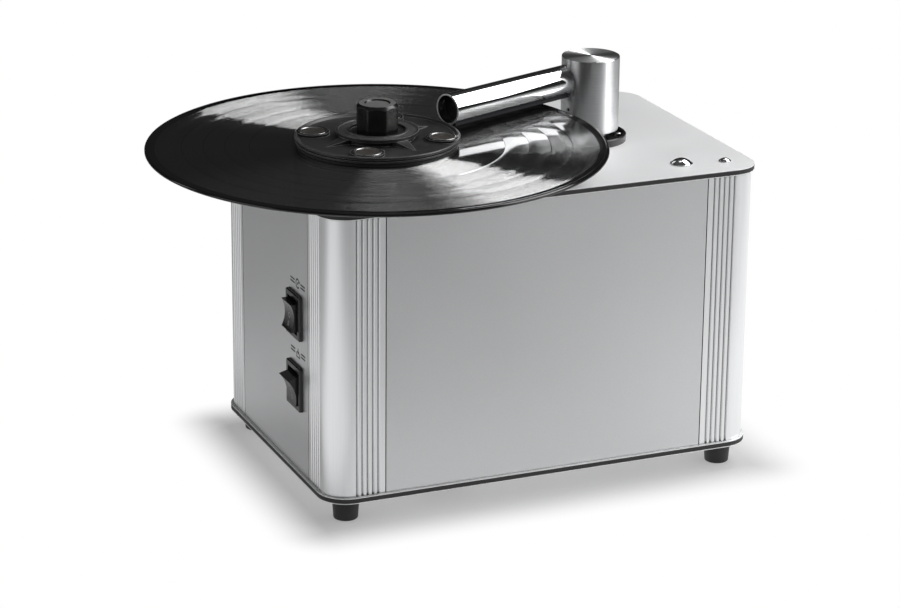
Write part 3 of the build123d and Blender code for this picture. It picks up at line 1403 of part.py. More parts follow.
def power_board():
    """Circuit board on four standoffs with a transformer and a capacitor."""
    length, depth, thick = BOARD
    low = BASE_TOP + BOARD_STANDOFF
    top = low + thick
    board = block((-length / 2, length / 2), (-depth / 2, depth / 2), (low, top))
    inset = BOARD_STANDOFF_INSET
    for x, y in corners(length / 2 - inset, depth / 2 - inset):
        board += disc(BOARD_STANDOFF_R, BASE_TOP, low, x, y)
    width, deep, tall = TRANSFORMER
    left = -length / 2 + TRANSFORMER_INSET
    board += block((left, left + width), (-deep / 2, deep / 2), (top, top + tall))
    board += disc(CAPACITOR_R, top, top + CAPACITOR, length / 2 - CAPACITOR_INSET, 0)
    return Pos(BOARD_X, BOARD_Y, 0) * board


# ------------------------------------------------------------------ all pieces
def all_parts():
    """Every sub-part by its node name."""
    parts = {}
    parts["top_plate_core"], parts["top_plate_skins"] = top_plate()
    parts["bottom_plate_core"], parts["bottom_plate_skins"] = bottom_plate()
    parts.update(posts())
    parts.update(panels())
    for build in (
        feet,
        foot_screws,
        tie_bolts,
        deck_inserts,
        bearing_housing,
        thrust_washer,
        pan_screws,
        spindle,
        platter,
        platter_mat,
        record,
        shaft_coupling,
        gear_motor,
        motor_bracket,
        clamp_disc,
        clamp_weights,
        clamp_seal,
        clamp_knob,
        knob_insert,
        base_cup,
        suction_pipe,
        lift_bush,
        arm_spring,
        arm_column,
        arm_set_screw,
        arm_tube,
        arm_lips,
        arm_end_plug,
        vent_cap,
        dome_screw,
        switch_terminals,
        mains_inlet,
        inlet_pins,
        waste_tank,
        tank_lid,
        drain_spigot,
        drain_cap,
        suction_hose,
        blower_housing,
        blower_impeller,
        blower_motor,
        blower_foot,
        power_board,
    ):
        parts[build.__name__] = build()
    parts["motor_switch"] = at_switch(switch_body(), MOTOR_SWITCH_DROP)
    parts["motor_rocker"] = at_switch(rocker(0.0), MOTOR_SWITCH_DROP)
    parts["vacuum_switch"] = at_switch(switch_body(), VACUUM_SWITCH_DROP)
    parts["vacuum_rocker"] = at_switch(rocker(-VACUUM_TILT), VACUUM_SWITCH_DROP)
    return parts


def write_parts():
    """Write one STEP file per sub-part, in the machine's own frame."""
    os.makedirs("parts", exist_ok=True)
    for name, shape in all_parts().items():
        export_step(Pos(-ORIGIN_X, -ORIGIN_Y, 0) * shape, f"parts/{name}.step")


write_parts()
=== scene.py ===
"""Record cleaning machine: the visual model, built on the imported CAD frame.

Every sub-assembly is a class. Its sizes are fields, read from the frame or named here, in
metres. A finish is a small frozen class that builds one procedural material.
"""

from __future__ import annotations

import json
import logging
import math
from collections.abc import Callable, Iterable, Sequence
from dataclasses import dataclass, field
from enum import Enum

import bmesh
import bpy
from mathutils import Matrix, Vector

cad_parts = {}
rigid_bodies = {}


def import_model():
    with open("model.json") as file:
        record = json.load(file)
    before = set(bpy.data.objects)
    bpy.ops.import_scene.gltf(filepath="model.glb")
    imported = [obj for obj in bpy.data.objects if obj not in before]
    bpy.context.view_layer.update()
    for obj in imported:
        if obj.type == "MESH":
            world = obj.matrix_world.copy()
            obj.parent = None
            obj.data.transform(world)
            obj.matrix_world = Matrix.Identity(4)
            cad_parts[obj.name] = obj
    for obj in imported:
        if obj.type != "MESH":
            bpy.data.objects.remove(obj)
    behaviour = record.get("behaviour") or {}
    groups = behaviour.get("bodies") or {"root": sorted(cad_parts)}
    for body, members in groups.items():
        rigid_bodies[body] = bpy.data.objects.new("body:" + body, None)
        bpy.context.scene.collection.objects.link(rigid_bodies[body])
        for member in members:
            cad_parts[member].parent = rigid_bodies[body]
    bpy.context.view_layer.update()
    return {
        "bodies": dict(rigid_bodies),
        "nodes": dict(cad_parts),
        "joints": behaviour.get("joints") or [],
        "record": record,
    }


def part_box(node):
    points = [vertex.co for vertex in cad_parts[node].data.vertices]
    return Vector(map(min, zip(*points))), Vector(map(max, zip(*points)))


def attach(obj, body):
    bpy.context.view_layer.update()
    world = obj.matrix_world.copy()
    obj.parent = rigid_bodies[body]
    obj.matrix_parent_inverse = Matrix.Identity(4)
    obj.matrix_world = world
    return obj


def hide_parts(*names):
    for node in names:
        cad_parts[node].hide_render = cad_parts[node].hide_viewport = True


LOG = logging.getLogger("record_cleaner")
MM = 0.001
NOISE_SPAN = (0.3, 0.7)
# Grey that edges are lightened towards: part wear, part painted highlight.
WORN_AND_HIGHLIGHT_LEVEL = 0.30
MERGE_DISTANCE = 0.001 * MM

Colour = tuple[float, float, float]
Range = tuple[float, float]
Point = tuple[float, float]
Profile = Sequence[Point]
Socket = bpy.types.NodeSocket


# ------------------------------------------------------------------ node graphs
class Graph:
    """A material's or world's node tree, with short calls to build it."""

    def __init__(self, tree: bpy.types.NodeTree, keep: bool = False) -> None:
        """Start from an empty tree, or go on with a filled one.

        Args:
            tree: The node tree to fill.
            keep: Whether its nodes stay.
        """
        self.tree = tree
        if not keep:
            tree.nodes.clear()

    def node(self, kind: str, **settings: object) -> bpy.types.Node:
        """Add a node.

        Args:
            kind: Blender's type name for it.
            settings: Properties to set on it.

        Returns:
            The new node.
        """
        made = self.tree.nodes.new(kind)
        for key, value in settings.items():
            setattr(made, key, value)
        return made

    def find(self, kind: str) -> bpy.types.Node:
        """First node of a type."""
        return next(node for node in self.tree.nodes if node.type == kind)

    def feed(self, socket: Socket, source: object) -> None:
        """Link another socket to an input, or set the input's own value.

        Args:
            socket: The input.
            source: An output socket, or a plain value.
        """
        if isinstance(source, Socket):
            self.tree.links.new(source, socket)
        else:
            socket.default_value = source

    def result(self, kind: str, inputs: dict, output: int | str, **settings: object) -> Socket:
        """Add a node, feed its inputs and give one of its outputs.

        Args:
            kind: Blender's type name for the node.
            inputs: Sockets or plain values, by the input's name or place.
            output: Name or place of the output.
            settings: Properties to set on the node.

        Returns:
            The output.
        """
        made = self.node(kind, **settings)
        for key, source in inputs.items():
            self.feed(made.inputs[key], source)
        return made.outputs[output]

    def math(self, operation: str, *inputs: object) -> Socket:
        """Result of a math node, from sockets or numbers in order."""
        return self.result("ShaderNodeMath", dict(enumerate(inputs)), 0, operation=operation)

    def times(self, first: object, *others: object) -> Socket:
        """Product of sockets or numbers."""
        for other in others:
            first = self.math("MULTIPLY", first, other)
        return first

    def between(self, share: object, low: float, high: float) -> Socket:
        """Number that goes from low to high while the share goes from 0 to 1."""
        return self.math("MULTIPLY_ADD", share, high - low, low)

    def mixture(self, first: object, second: object, share: float) -> Socket:
        """Sum of two numbers, of which the first has this share."""
        return self.math("ADD", self.times(first, share), self.times(second, 1.0 - share))

    def vector(self, operation: str, *inputs: object) -> Socket:
        """Result of a vector math node, from sockets or vectors in order."""
        output = "Value" if operation in ("LENGTH", "DOT_PRODUCT") else "Vector"
        return self.result("ShaderNodeVectorMath", dict(enumerate(inputs)), output, operation=operation)

    def scaled(self, vector: Socket, factor: Socket) -> Socket:
        """A vector times a number."""
        inputs = {0: vector, "Scale": factor}
        return self.result("ShaderNodeVectorMath", inputs, "Vector", operation="SCALE")

    def split(self, vector: Socket) -> bpy.types.NodeOutputs:
        """The X, Y and Z of a vector, as named outputs."""
        made = self.node("ShaderNodeSeparateXYZ")
        self.feed(made.inputs["Vector"], vector)
        return made.outputs

    def noise(self, where: Socket, size: float, detail: float = 3.0) -> Socket:
        """Noise from 0 to 1.

        Args:
            where: The coordinates, in metres.
            size: Rough size of one blot, in metres.
            detail: Number of finer layers.

        Returns:
            The noise.
        """
        inputs = {"Vector": where, "Scale": 1.0 / size, "Detail": detail}
        return self.result("ShaderNodeTexNoise", inputs, "Fac")

    def span(self, value: Socket, low: float, high: float) -> Socket:
        """Noise stretched to run from low to high."""
        start, end = NOISE_SPAN
        inputs = {"Value": value, "From Min": start, "From Max": end, "To Min": low, "To Max": high}
        return self.result("ShaderNodeMapRange", inputs, "Result")

    def ramp(self, value: Socket, start: float, end: float) -> Socket:
        """Rise smoothly from 0 to 1 while a value goes from start to end."""
        inputs = {"Value": value, "From Min": start, "From Max": end}
        return self.result("ShaderNodeMapRange", inputs, "Result", interpolation_type="SMOOTHSTEP")

    def blend(self, share: Socket, first: object, second: object) -> Socket:
        """Mix two colours: the first at 0, the second at 1."""
        inputs = {"Factor": share}
        for key, source in (("A", first), ("B", second)):
            inputs[key] = (*source, 1.0) if isinstance(source, tuple) else source
        return self.result("ShaderNodeMix", inputs, "Result", data_type="RGBA")

    def choose(self, share: Socket, first: object, second: object) -> Socket:
        """Mix two numbers: the first at 0, the second at 1."""
        inputs = {"Factor": share, "A": first, "B": second}
        return self.result("ShaderNodeMix", inputs, "Result", data_type="FLOAT")

    def edge(self, radius: float) -> Socket:
        """Normal that rounds every edge by this radius, in metres."""
        return self.result("ShaderNodeBevel", {"Radius": radius}, "Normal", samples=6)

    def open_share(self, reach: float) -> Socket:
        """How open a spot is, from 0 in a narrow groove to 1, looking this far."""
        return self.result("ShaderNodeAmbientOcclusion", {"Distance": reach}, "AO", samples=6)

    def bump(self, height: Socket, depth: float, under: Socket | None = None) -> Socket:
        """Normal bumped by a height from 0 to 1.

        Args:
            height: The height.
            depth: Real height of the relief, in metres.
            under: Normal of a bump below this one.

        Returns:
            The bumped normal.
        """
        inputs = {"Distance": depth, "Height": height}
        if under is not None:
            inputs["Normal"] = under
        return self.result("ShaderNodeBump", inputs, "Normal")

    def object_place(self) -> Socket:
        """Place on the object, in metres."""
        return self.node("ShaderNodeTexCoord").outputs["Object"]

    def true_normal(self) -> Socket:
        """Normal of the mesh."""
        return self.node("ShaderNodeNewGeometry").outputs["Normal"]


# ------------------------------------------------------------------ finishes
class Pattern(Enum):
    """Direction of a finish's grain, as a stretch of its coordinates."""

    EVEN = (1.0, 1.0, 1.0)
    UPRIGHT = (1.0, 1.0, 0.015)


@dataclass(frozen=True)
class Finish:
    """A procedural surface: two close tones, grain, roughness and relief.

    Edges are rounded by `edge` metres and lightened towards a grey by a set share, part wear and part
    painted highlight;
    grooves that are narrow for their depth, seen over a set reach in metres, are darkened with painted
    shade.
    """

    name: str
    dark: Colour
    light: Colour
    roughness: Range
    metallic: float = 0.0
    grain: float = 0.4 * MM
    cloud: float = 30 * MM
    relief: float = 0.01 * MM
    pattern: Pattern = Pattern.EVEN
    ior: float = 1.5
    coat: float = 0.0
    coat_roughness: float = 0.1
    sheen: float = 0.0
    anisotropy: float = 0.0
    turn: float = 0.0
    edge: float = 0.0
    # Edge lightening below is part wear and part painted highlight; groove darkening is painted shade.
    wear_and_highlight: float = 0.0
    groove_shade_reach: float = 0.0
    fine_share: float = 0.6
    groove_shade_tone: float = 0.12
    groove_shade_span: Range = (0.25, 0.85)
    wear_and_highlight_span: Range = (0.995, 0.9)

    def material(self) -> bpy.types.Material:
        """Build the material once, and return the same one later."""
        made = bpy.data.materials.get(self.name)
        if made is None:
            made = bpy.data.materials.new(self.name)
            made.use_nodes = True
            self.build(Graph(made.node_tree))
        return made

    def shader(self, graph: Graph) -> bpy.types.Node:
        """Add the surface shader with this finish's constants and the output.

        Args:
            graph: The material's graph.

        Returns:
            The Principled node.
        """
        shader = graph.node("ShaderNodeBsdfPrincipled")
        shader.inputs["Metallic"].default_value = self.metallic
        shader.inputs["IOR"].default_value = self.ior
        shader.inputs["Coat Weight"].default_value = self.coat
        shader.inputs["Coat Roughness"].default_value = self.coat_roughness
        shader.inputs["Sheen Weight"].default_value = self.sheen
        shader.inputs["Anisotropic"].default_value = self.anisotropy
        shader.inputs["Anisotropic Rotation"].default_value = self.turn
        output = graph.node("ShaderNodeOutputMaterial")
        graph.feed(output.inputs["Surface"], shader.outputs["BSDF"])
        return shader

    def coordinates(self, graph: Graph) -> Socket:
        """Stretched coordinates for the grain, in metres."""
        return graph.vector("MULTIPLY", graph.object_place(), self.pattern.value)

    def build(self, graph: Graph) -> None:
        """Fill the material's graph.

        Args:
            graph: The material's graph.
        """
        shader = self.shader(graph)
        where = self.coordinates(graph)
        fine = graph.noise(where, self.grain)
        slow = graph.noise(where, self.cloud, 2.0)
        mixed = graph.mixture(fine, slow, self.fine_share)
        tone = graph.blend(graph.span(mixed, 0.0, 1.0), self.dark, self.light)
        smooth = graph.edge(self.edge) if self.edge else None
        # Painted shade: spots in narrow grooves are darkened towards a deep copy of the dark tone.
        if self.groove_shade_reach:
            deep = tuple(self.groove_shade_tone * part for part in self.dark)
            tone = graph.blend(graph.ramp(graph.open_share(self.groove_shade_reach), *self.groove_shade_span), deep, tone)
        # Edges lightened towards a grey: part wear, part painted highlight.
        if self.wear_and_highlight:
            along = graph.vector("DOT_PRODUCT", smooth, graph.true_normal())
            rubbed_and_lit = graph.times(graph.ramp(along, *self.wear_and_highlight_span), self.wear_and_highlight)
            tone = graph.blend(rubbed_and_lit, tone, grey(WORN_AND_HIGHLIGHT_LEVEL))
        graph.feed(shader.inputs["Base Color"], tone)
        graph.feed(shader.inputs["Roughness"], graph.span(slow, *self.roughness))
        graph.feed(shader.inputs["Normal"], graph.bump(fine, self.relief, smooth))


@dataclass(frozen=True)
class Turned(Finish):
    """A finish with fine rings about an upright axis, which spread light across themselves."""

    turn: float = 0.25
    centre: Point = (0.0, 0.0)
    drift: float = 0.02

    def offset(self, graph: Graph) -> tuple[Socket, Socket]:
        """Place from the axis, and its level part."""
        offset = graph.vector("SUBTRACT", graph.object_place(), (*self.centre, 0.0))
        return offset, graph.vector("MULTIPLY", offset, (1.0, 1.0, 0.0))

    def coordinates(self, graph: Graph) -> Socket:
        """Distance from the axis as the only coordinate, with a slow change round it."""
        offset, flat = self.offset(graph)
        slow = graph.vector("MULTIPLY", offset, (self.drift, self.drift, 1.0))
        rings = graph.result("ShaderNodeCombineXYZ", {"X": graph.vector("LENGTH", flat)}, 0)
        return graph.vector("ADD", slow, rings)

    def build(self, graph: Graph) -> None:
        """Fill the graph, and turn the highlight round the axis.

        Args:
            graph: The material's graph.
        """
        super().build(graph)
        tangent = graph.node("ShaderNodeTangent", direction_type="RADIAL", axis="Z")
        graph.feed(graph.find("BSDF_PRINCIPLED").inputs["Tangent"], tangent.outputs["Tangent"])


@dataclass(frozen=True)
class Vinyl(Turned):
    """Pressed vinyl: the walls of fine grooves lean towards and away from the disc's centre."""

    pitch: float = 0.9 * MM
    slopes: Range = (0.8, 1.1)
    least: float = 0.35
    wander: float = 0.05

    def build(self, graph: Graph) -> None:
        """Fill the graph: tones in rings, and a normal that leans along the radius.

        Args:
            graph: The material's graph.
        """
        shader = self.shader(graph)
        where = self.coordinates(graph)
        bands = graph.noise(where, self.pitch, 4.0)
        wide = graph.noise(where, self.cloud, 2.0)
        mixed = graph.mixture(bands, wide, 0.5)
        tone = graph.blend(graph.span(mixed, 0.0, 1.0), self.dark, self.light)
        graph.feed(shader.inputs["Base Color"], tone)
        graph.feed(shader.inputs["Roughness"], graph.span(mixed, *self.roughness))
        graph.feed(shader.inputs["Normal"], self.walls(graph, mixed, wide))

    def walls(self, graph: Graph, mixed: Socket, wide: Socket) -> Socket:
        """Normal of the groove walls.

        Args:
            graph: The material's graph.
            mixed: Noise that sets how steep the walls are.
            wide: Noise that turns them a little, track by track.

        Returns:
            The normal.
        """
        flat = self.offset(graph)[1]
        outward = graph.vector("NORMALIZE", flat)
        along = graph.vector("CROSS_PRODUCT", outward, (0.0, 0.0, 1.0))
        aside = graph.scaled(along, graph.span(wide, -self.wander, self.wander))
        leaning = graph.vector("ADD", outward, aside)
        inputs = {"W": graph.vector("LENGTH", flat)}
        grain = graph.result("ShaderNodeTexWhiteNoise", inputs, "Value", noise_dimensions="1D")
        side = graph.between(grain, -1.0, 1.0)
        steep = graph.times(graph.math("SIGN", side), self.least)
        side = graph.math("MULTIPLY_ADD", side, 1.0 - self.least, steep)
        lean = graph.scaled(leaning, graph.times(side, graph.span(mixed, *self.slopes)))
        out = graph.node("ShaderNodeVectorTransform", vector_type="VECTOR", convert_from="OBJECT")
        graph.feed(out.inputs["Vector"], lean)
        return graph.vector("NORMALIZE", graph.vector("ADD", graph.true_normal(), out.outputs["Vector"]))


def grey(level: float, tint: float = 0.0) -> Colour:
    """A grey, a little cooler for a positive tint.

    Args:
        level: Linear brightness.
        tint: Share added to blue and taken from red.

    Returns:
        The colour.
    """
    return (level * (1 - tint), level, level * (1 + tint))


SPINDLE_AT = (-54.95 * MM, -12.2 * MM)
COLUMN_AT = (124.15 * MM, 44.2 * MM)

# Painted shade darkens its narrow grooves.
BLASTED = Finish(
    "blasted_aluminium", grey(0.70, 0.01), grey(0.76, 0.01), (0.38, 0.44), 1.0,
    0.5 * MM, 60 * MM, 0.012 * MM, groove_shade_reach=1.5 * MM,
)
DECK_SKIN = Finish(
    "satin_deck", grey(0.90, 0.005), grey(0.95, 0.005), (0.60, 0.66), 1.0,
    0.4 * MM, 60 * MM, 0.006 * MM, edge=0.3 * MM,
)
# Painted shade darkens its grooves.
EXTRUDED = Finish(
    "drawn_aluminium", grey(0.88, 0.01), grey(0.94, 0.01), (0.32, 0.38), 1.0,
    0.8 * MM, 12 * MM, 0.004 * MM, Pattern.UPRIGHT, groove_shade_reach=2.2 * MM,
)
CORE = Finish("dark_core", grey(0.018), grey(0.05), (0.5, 0.65), 0.0, 0.3 * MM, 20 * MM, 0.02 * MM)
RUBBER = Finish("black_rubber", grey(0.010), grey(0.022), (0.5, 0.65), 0.0, 0.3 * MM, 10 * MM, 0.02 * MM)
# Edges lightened a little: part wear, part painted highlight.
MOULDED = Finish(
    "moulded_black", grey(0.006), grey(0.012), (0.20, 0.28), 0.0,
    0.5 * MM, 8 * MM, 0.010 * MM, edge=0.3 * MM, wear_and_highlight=0.25,
)
# Painted shade darkens its grooves; its edges are lightened, part wear and part painted highlight.
CLAMP_BLACK = Finish(
    "textured_black", grey(0.018), grey(0.030), (0.32, 0.42), 0.0,
    0.35 * MM, 6 * MM, 0.015 * MM, edge=0.5 * MM, wear_and_highlight=1.0, groove_shade_reach=4.0 * MM,
)
# Edges lightened a little: part wear, part painted highlight.
SATIN_BLACK = Finish(
    "satin_black", grey(0.006), grey(0.012), (0.20, 0.28), 0.0,
    0.4 * MM, 10 * MM, 0.006 * MM, edge=0.4 * MM, wear_and_highlight=0.25,
)
RING_GRAIN = Finish("grained_black", grey(0.015), grey(0.11), (0.3, 0.5), 0.0, 0.9 * MM, 4 * MM, 0.25 * MM)
STEEL = Finish("bright_steel", grey(0.45), grey(0.58), (0.20, 0.32), 1.0, 0.5 * MM, 8 * MM, 0.01 * MM)
CHROME = Finish(
    "chrome", grey(0.72, 0.01), grey(0.78, 0.01), (0.04, 0.08), 1.0, 0.6 * MM, 20 * MM, 0.0008 * MM
)
WEIGHT_FACE = Finish(
    "weight_face", (0.11, 0.10, 0.092), (0.19, 0.175, 0.16), (0.42, 0.55), 1.0, 0.4 * MM, 4 * MM, 0.02 * MM
)
CUT_EDGE = Finish("cut_edge", grey(0.80), grey(0.88), (0.45, 0.55), 1.0, 0.3 * MM, 8 * MM, 0.01 * MM)
KNOB_TOP = Finish("matt_black", grey(0.10), grey(0.13), (0.5, 0.6), 0.0, 0.3 * MM, 8 * MM, 0.02 * MM)
COLUMN_TOP = Turned(
    "faced_aluminium", grey(0.80, 0.01), grey(0.88, 0.01), (0.46, 0.52), 1.0,
    0.35 * MM, 20 * MM, 0.006 * MM, anisotropy=0.9, centre=COLUMN_AT,
)
COLUMN = Turned(
    "turned_aluminium", grey(0.64, 0.01), grey(0.80, 0.01), (0.34, 0.42), 1.0,
    0.35 * MM, 20 * MM, 0.004 * MM, anisotropy=0.9, centre=COLUMN_AT,
)
VINYL = Vinyl(
    "vinyl_grooves", grey(0.002), grey(0.004), (0.08, 0.13), cloud=7 * MM,
    ior=4.6, coat=1.0, coat_roughness=0.06, centre=SPINDLE_AT,
)
VINYL_LAND = Turned(
    "vinyl_land", grey(0.005), grey(0.008), (0.10, 0.16), 0.0,
    0.4 * MM, 10 * MM, 0.002 * MM, anisotropy=0.4, centre=SPINDLE_AT,
)
LABEL = Finish(
    "paper_label", (0.30, 0.28, 0.24), (0.36, 0.34, 0.29), (0.6, 0.75), 0.0, 0.3 * MM, 8 * MM, 0.02 * MM
)
FELT = Finish(
    "felt", (0.02, 0.02, 0.022), (0.06, 0.06, 0.065), (0.9, 1.0), 0.0,
    0.15 * MM, 3 * MM, 0.1 * MM, sheen=0.5,
)
BRASS = Finish(
    "brass", (0.55, 0.38, 0.14), (0.68, 0.50, 0.22), (0.22, 0.32), 1.0, 0.4 * MM, 8 * MM, 0.01 * MM
)
MILLED = Finish("milled_aluminium", grey(0.50), grey(0.62), (0.3, 0.4), 1.0, 0.3 * MM, 10 * MM, 0.01 * MM)
TANK = Finish(
    "tank_plastic", grey(0.42, 0.02), grey(0.5, 0.02), (0.35, 0.5), 0.0, 0.6 * MM, 20 * MM, 0.02 * MM
)
BOARD = Finish(
    "board_green", (0.01, 0.06, 0.03), (0.02, 0.10, 0.05), (0.3, 0.45), 0.0, 0.5 * MM, 10 * MM, 0.01 * MM
)
WHITE_MARK = Finish("white_print", grey(0.45), grey(0.60), (0.4, 0.5), 0.0, 0.2 * MM, 4 * MM, 0.005 * MM)
DARK_MARK = Finish("dark_print", grey(0.010), grey(0.02), (0.45, 0.6), 0.0, 0.2 * MM, 4 * MM, 0.005 * MM)
FLOOR = Finish("pale_floor", grey(0.44), grey(0.46), (0.8, 0.9), 0.0, 2 * MM, 200 * MM, 0.01 * MM)


# ------------------------------------------------------------------ mesh building
def baked(name: str, work: bmesh.types.BMesh, outward: bool = True) -> bpy.types.Mesh:
    """Store a mesh in progress.

    Args:
        name: Name of the mesh.
        work: The mesh in progress; it is freed.
        outward: Whether its faces are turned outward first.

    Returns:
        The mesh.
    """
    if outward:
        bmesh.ops.recalc_face_normals(work, faces=work.faces)
    mesh = bpy.data.meshes.new(name)
    work.to_mesh(mesh)
    work.free()
    return mesh


def repaint(mesh: bpy.types.Mesh, finish: Finish, chosen: Callable[[bpy.types.MeshPolygon], bool]) -> None:
    """Give some faces of a mesh a second finish.

    Args:
        mesh: The mesh, which has one finish.
        finish: The second.
        chosen: Tells which faces get it.
    """
    mesh.materials.append(finish.material())
    for polygon in mesh.polygons:
        if chosen(polygon):
            polygon.material_index = 1


def finished(name: str, mesh: bpy.types.Mesh, finish: Finish, crease: float = 32.0) -> bpy.types.Object:
    """Turn a mesh into a smooth object with one finish.

    Args:
        name: Name of the piece.
        mesh: Its mesh, in the row frame.
        finish: What it is dressed with.
        crease: Edges sharper than this many degrees stay sharp.

    Returns:
        The new object, in the scene.
    """
    mesh.materials.append(finish.material())
    for polygon in mesh.polygons:
        polygon.use_smooth = True
    mesh.set_sharp_from_angle(angle=math.radians(crease))
    made = bpy.data.objects.new(name, mesh)
    bpy.context.scene.collection.objects.link(made)
    return made


def placed(body: str, slot: str, obj: bpy.types.Object, *nodes: str) -> bpy.types.Object:
    """Let a piece ride on a body and hide the CAD nodes that it stands for.

    Args:
        body: The CAD body.
        slot: The record's material slot; not used.
        obj: The piece.
        nodes: CAD nodes that it replaces.

    Returns:
        The piece.
    """
    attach(obj, body)
    if nodes:
        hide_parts(*nodes)
    LOG.info("%s: %d faces, on %s", obj.name, len(obj.data.polygons), body)
    return obj


def lathe_mesh(name: str, profile: Profile, frame: Matrix, turns: int = 256) -> bpy.types.Mesh:
    """Turn a closed profile about the local Z axis.

    Args:
        name: Name of the mesh.
        profile: (radius, height) points in order; a radius of 0 is a point on the axis.
        frame: Where the local axes lie.
        turns: Steps round the axis.

    Returns:
        The mesh; its faces run profile span by profile span, which keeps them in rings.
    """
    work = bmesh.new()
    rings: list[list[bmesh.types.BMVert]] = []
    for radius, height in profile:
        if radius == 0:
            rings.append([work.verts.new(frame @ Vector((0, 0, height)))] * turns)
            continue
        ring = []
        for step in range(turns):
            angle = math.tau * step / turns
            point = Vector((radius * math.cos(angle), radius * math.sin(angle), height))
            ring.append(work.verts.new(frame @ point))
        rings.append(ring)
    for low, high in zip(rings, rings[1:] + rings[:1]):
        for step in range(turns):
            corners = [low[step], low[step - 1], high[step - 1], high[step]]
            unique = list(dict.fromkeys(corners))
            if len(unique) > 2:
                work.faces.new(unique)
    return baked(name, work)


def plate_mesh(name: str, outline: Sequence[Vector], rise: Vector) -> bpy.types.Mesh:
    """Raise a flat closed outline into a thin plate.

    Args:
        name: Name of the mesh.
        outline: A ring of points in order.
        rise: The plate's thickness, as a vector.

    Returns:
        The mesh.
    """
    work = bmesh.new()
    low = [work.verts.new(point) for point in outline]
    high = [work.verts.new(point + rise) for point in outline]
    work.faces.new(low)
    work.faces.new(high[::-1])
    for index in range(len(outline)):
        work.faces.new([low[index - 1], low[index], high[index], high[index - 1]])
    return baked(name, work)


def bar_mesh(name: str, size: Vector, place: Matrix) -> bpy.types.Mesh:
    """Upright bar that stands on its place, as a cutter.

    Args:
        name: Name of the mesh.
        size: Its length, width and height.
        place: Frame at the middle of its foot.

    Returns:
        The mesh.
    """
    x, y, z = size.x / 2, size.y / 2, size.z
    outline = [place @ Vector(point) for point in ((-x, -y, 0), (x, -y, 0), (x, y, 0), (-x, y, 0))]
    return plate_mesh(name, outline, place.to_3x3() @ Vector((0, 0, z)))


def rounded(points: Profile, radius: float, steps: int = 4) -> list[Point]:
    """Replace the corners of a closed profile by small arcs; points on the axis stay.

    Args:
        points: (radius, height) points in order.
        radius: Size of the rounding.
        steps: Spans in each arc.

    Returns:
        The finer profile.
    """
    result: list[Point] = []
    for index, point in enumerate(points):
        corner = Vector(point)
        before = Vector(points[index - 1]) - corner
        after = Vector(points[(index + 1) % len(points)]) - corner
        if point[0] == 0 or min(before.length, after.length) == 0:
            result.append(tuple(point))
            continue
        reach = min(radius, 0.45 * before.length, 0.45 * after.length)
        start = corner + before.normalized() * reach
        end = corner + after.normalized() * reach
        for step in range(steps + 1):
            share = step / steps
            spot = start * (1 - share) ** 2 + corner * 2 * share * (1 - share) + end * share**2
            result.append((spot.x, spot.y))
    return result


def turned_frame(degrees: float, axis: str) -> Matrix:
    """Turn about an axis."""
    return Matrix.Rotation(math.radians(degrees), 4, axis)


def upright(x: float, y: float, z: float = 0.0) -> Matrix:
    """Frame whose axis stands upright at a point."""
    return Matrix.Translation((x, y, z))


def joined(name: str, meshes: Sequence[bpy.types.Mesh], places: Sequence[Matrix]) -> bpy.types.Mesh:
    """Put copies of meshes together in one mesh.

    Args:
        name: Name of the result.
        meshes: One mesh for each place.
        places: Where each goes.

    Returns:
        The joined mesh.
    """
    work = bmesh.new()
    for source, place in zip(meshes, places):
        copy = source.copy()
        copy.transform(place)
        work.from_mesh(copy)
        bpy.data.meshes.remove(copy)
    return baked(name, work, outward=False)


def cut(mesh: bpy.types.Mesh, tool: bpy.types.Mesh) -> bpy.types.Mesh:
    """Cut one closed mesh out of another.

    Args:
        mesh: What is cut.
        tool: What is taken away.

    Returns:
        The cut mesh, under the first one's name.
    """
    name = mesh.name
    scene = bpy.context.scene.collection.objects
    target = bpy.data.objects.new("cut_target", mesh)
    cutter = bpy.data.objects.new("cut_tool", tool)
    scene.link(target)
    scene.link(cutter)
    difference = target.modifiers.new("cut", "BOOLEAN")
    difference.operation = "DIFFERENCE"
    difference.solver = "EXACT"
    difference.object = cutter
    graph = bpy.context.evaluated_depsgraph_get()
    result = bpy.data.meshes.new_from_object(target.evaluated_get(graph))
    bpy.data.objects.remove(target)
    bpy.data.objects.remove(cutter)
    bpy.data.meshes.remove(mesh)
    bpy.data.meshes.remove(tool)
    result.name = name
    return result


def islands(node: str) -> list[tuple[Vector, Vector]]:
    """Boxes of the separate solids in a CAD node, as lowest and highest corners."""
    work = bmesh.new()
    work.from_mesh(bpy.data.objects[node].data)
    bmesh.ops.remove_doubles(work, verts=work.verts, dist=MERGE_DISTANCE)
    left = set(work.verts)
    boxes = []
    while left:
        found = [left.pop()]
        for vert in found:
            for near in (edge.other_vert(vert) for edge in vert.link_edges):
                if near in left:
                    left.remove(near)
                    found.append(near)
        corners = [[getattr(vert.co, axis) for vert in found] for axis in "xyz"]
        boxes.append((Vector([min(c) for c in corners]), Vector([max(c) for c in corners])))
    work.free()
    return sorted(boxes, key=lambda box: tuple(round(value, 5) for value in box[0]))


def arc(radius: float, start: float, end: float, x: float = 0.0, y: float = 0.0) -> list[Point]:
    """Points on an arc, start and end in degrees."""
    count = max(4, round(abs(end - start) / 12))
    angles = [math.radians(start + (end - start) * step / count) for step in range(count + 1)]
    return [(x + radius * math.cos(angle), y + radius * math.sin(angle)) for angle in angles]


def middle(node: str) -> Vector:
    """Middle of a CAD node's box."""
    low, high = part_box(node)
    return (low + high) / 2


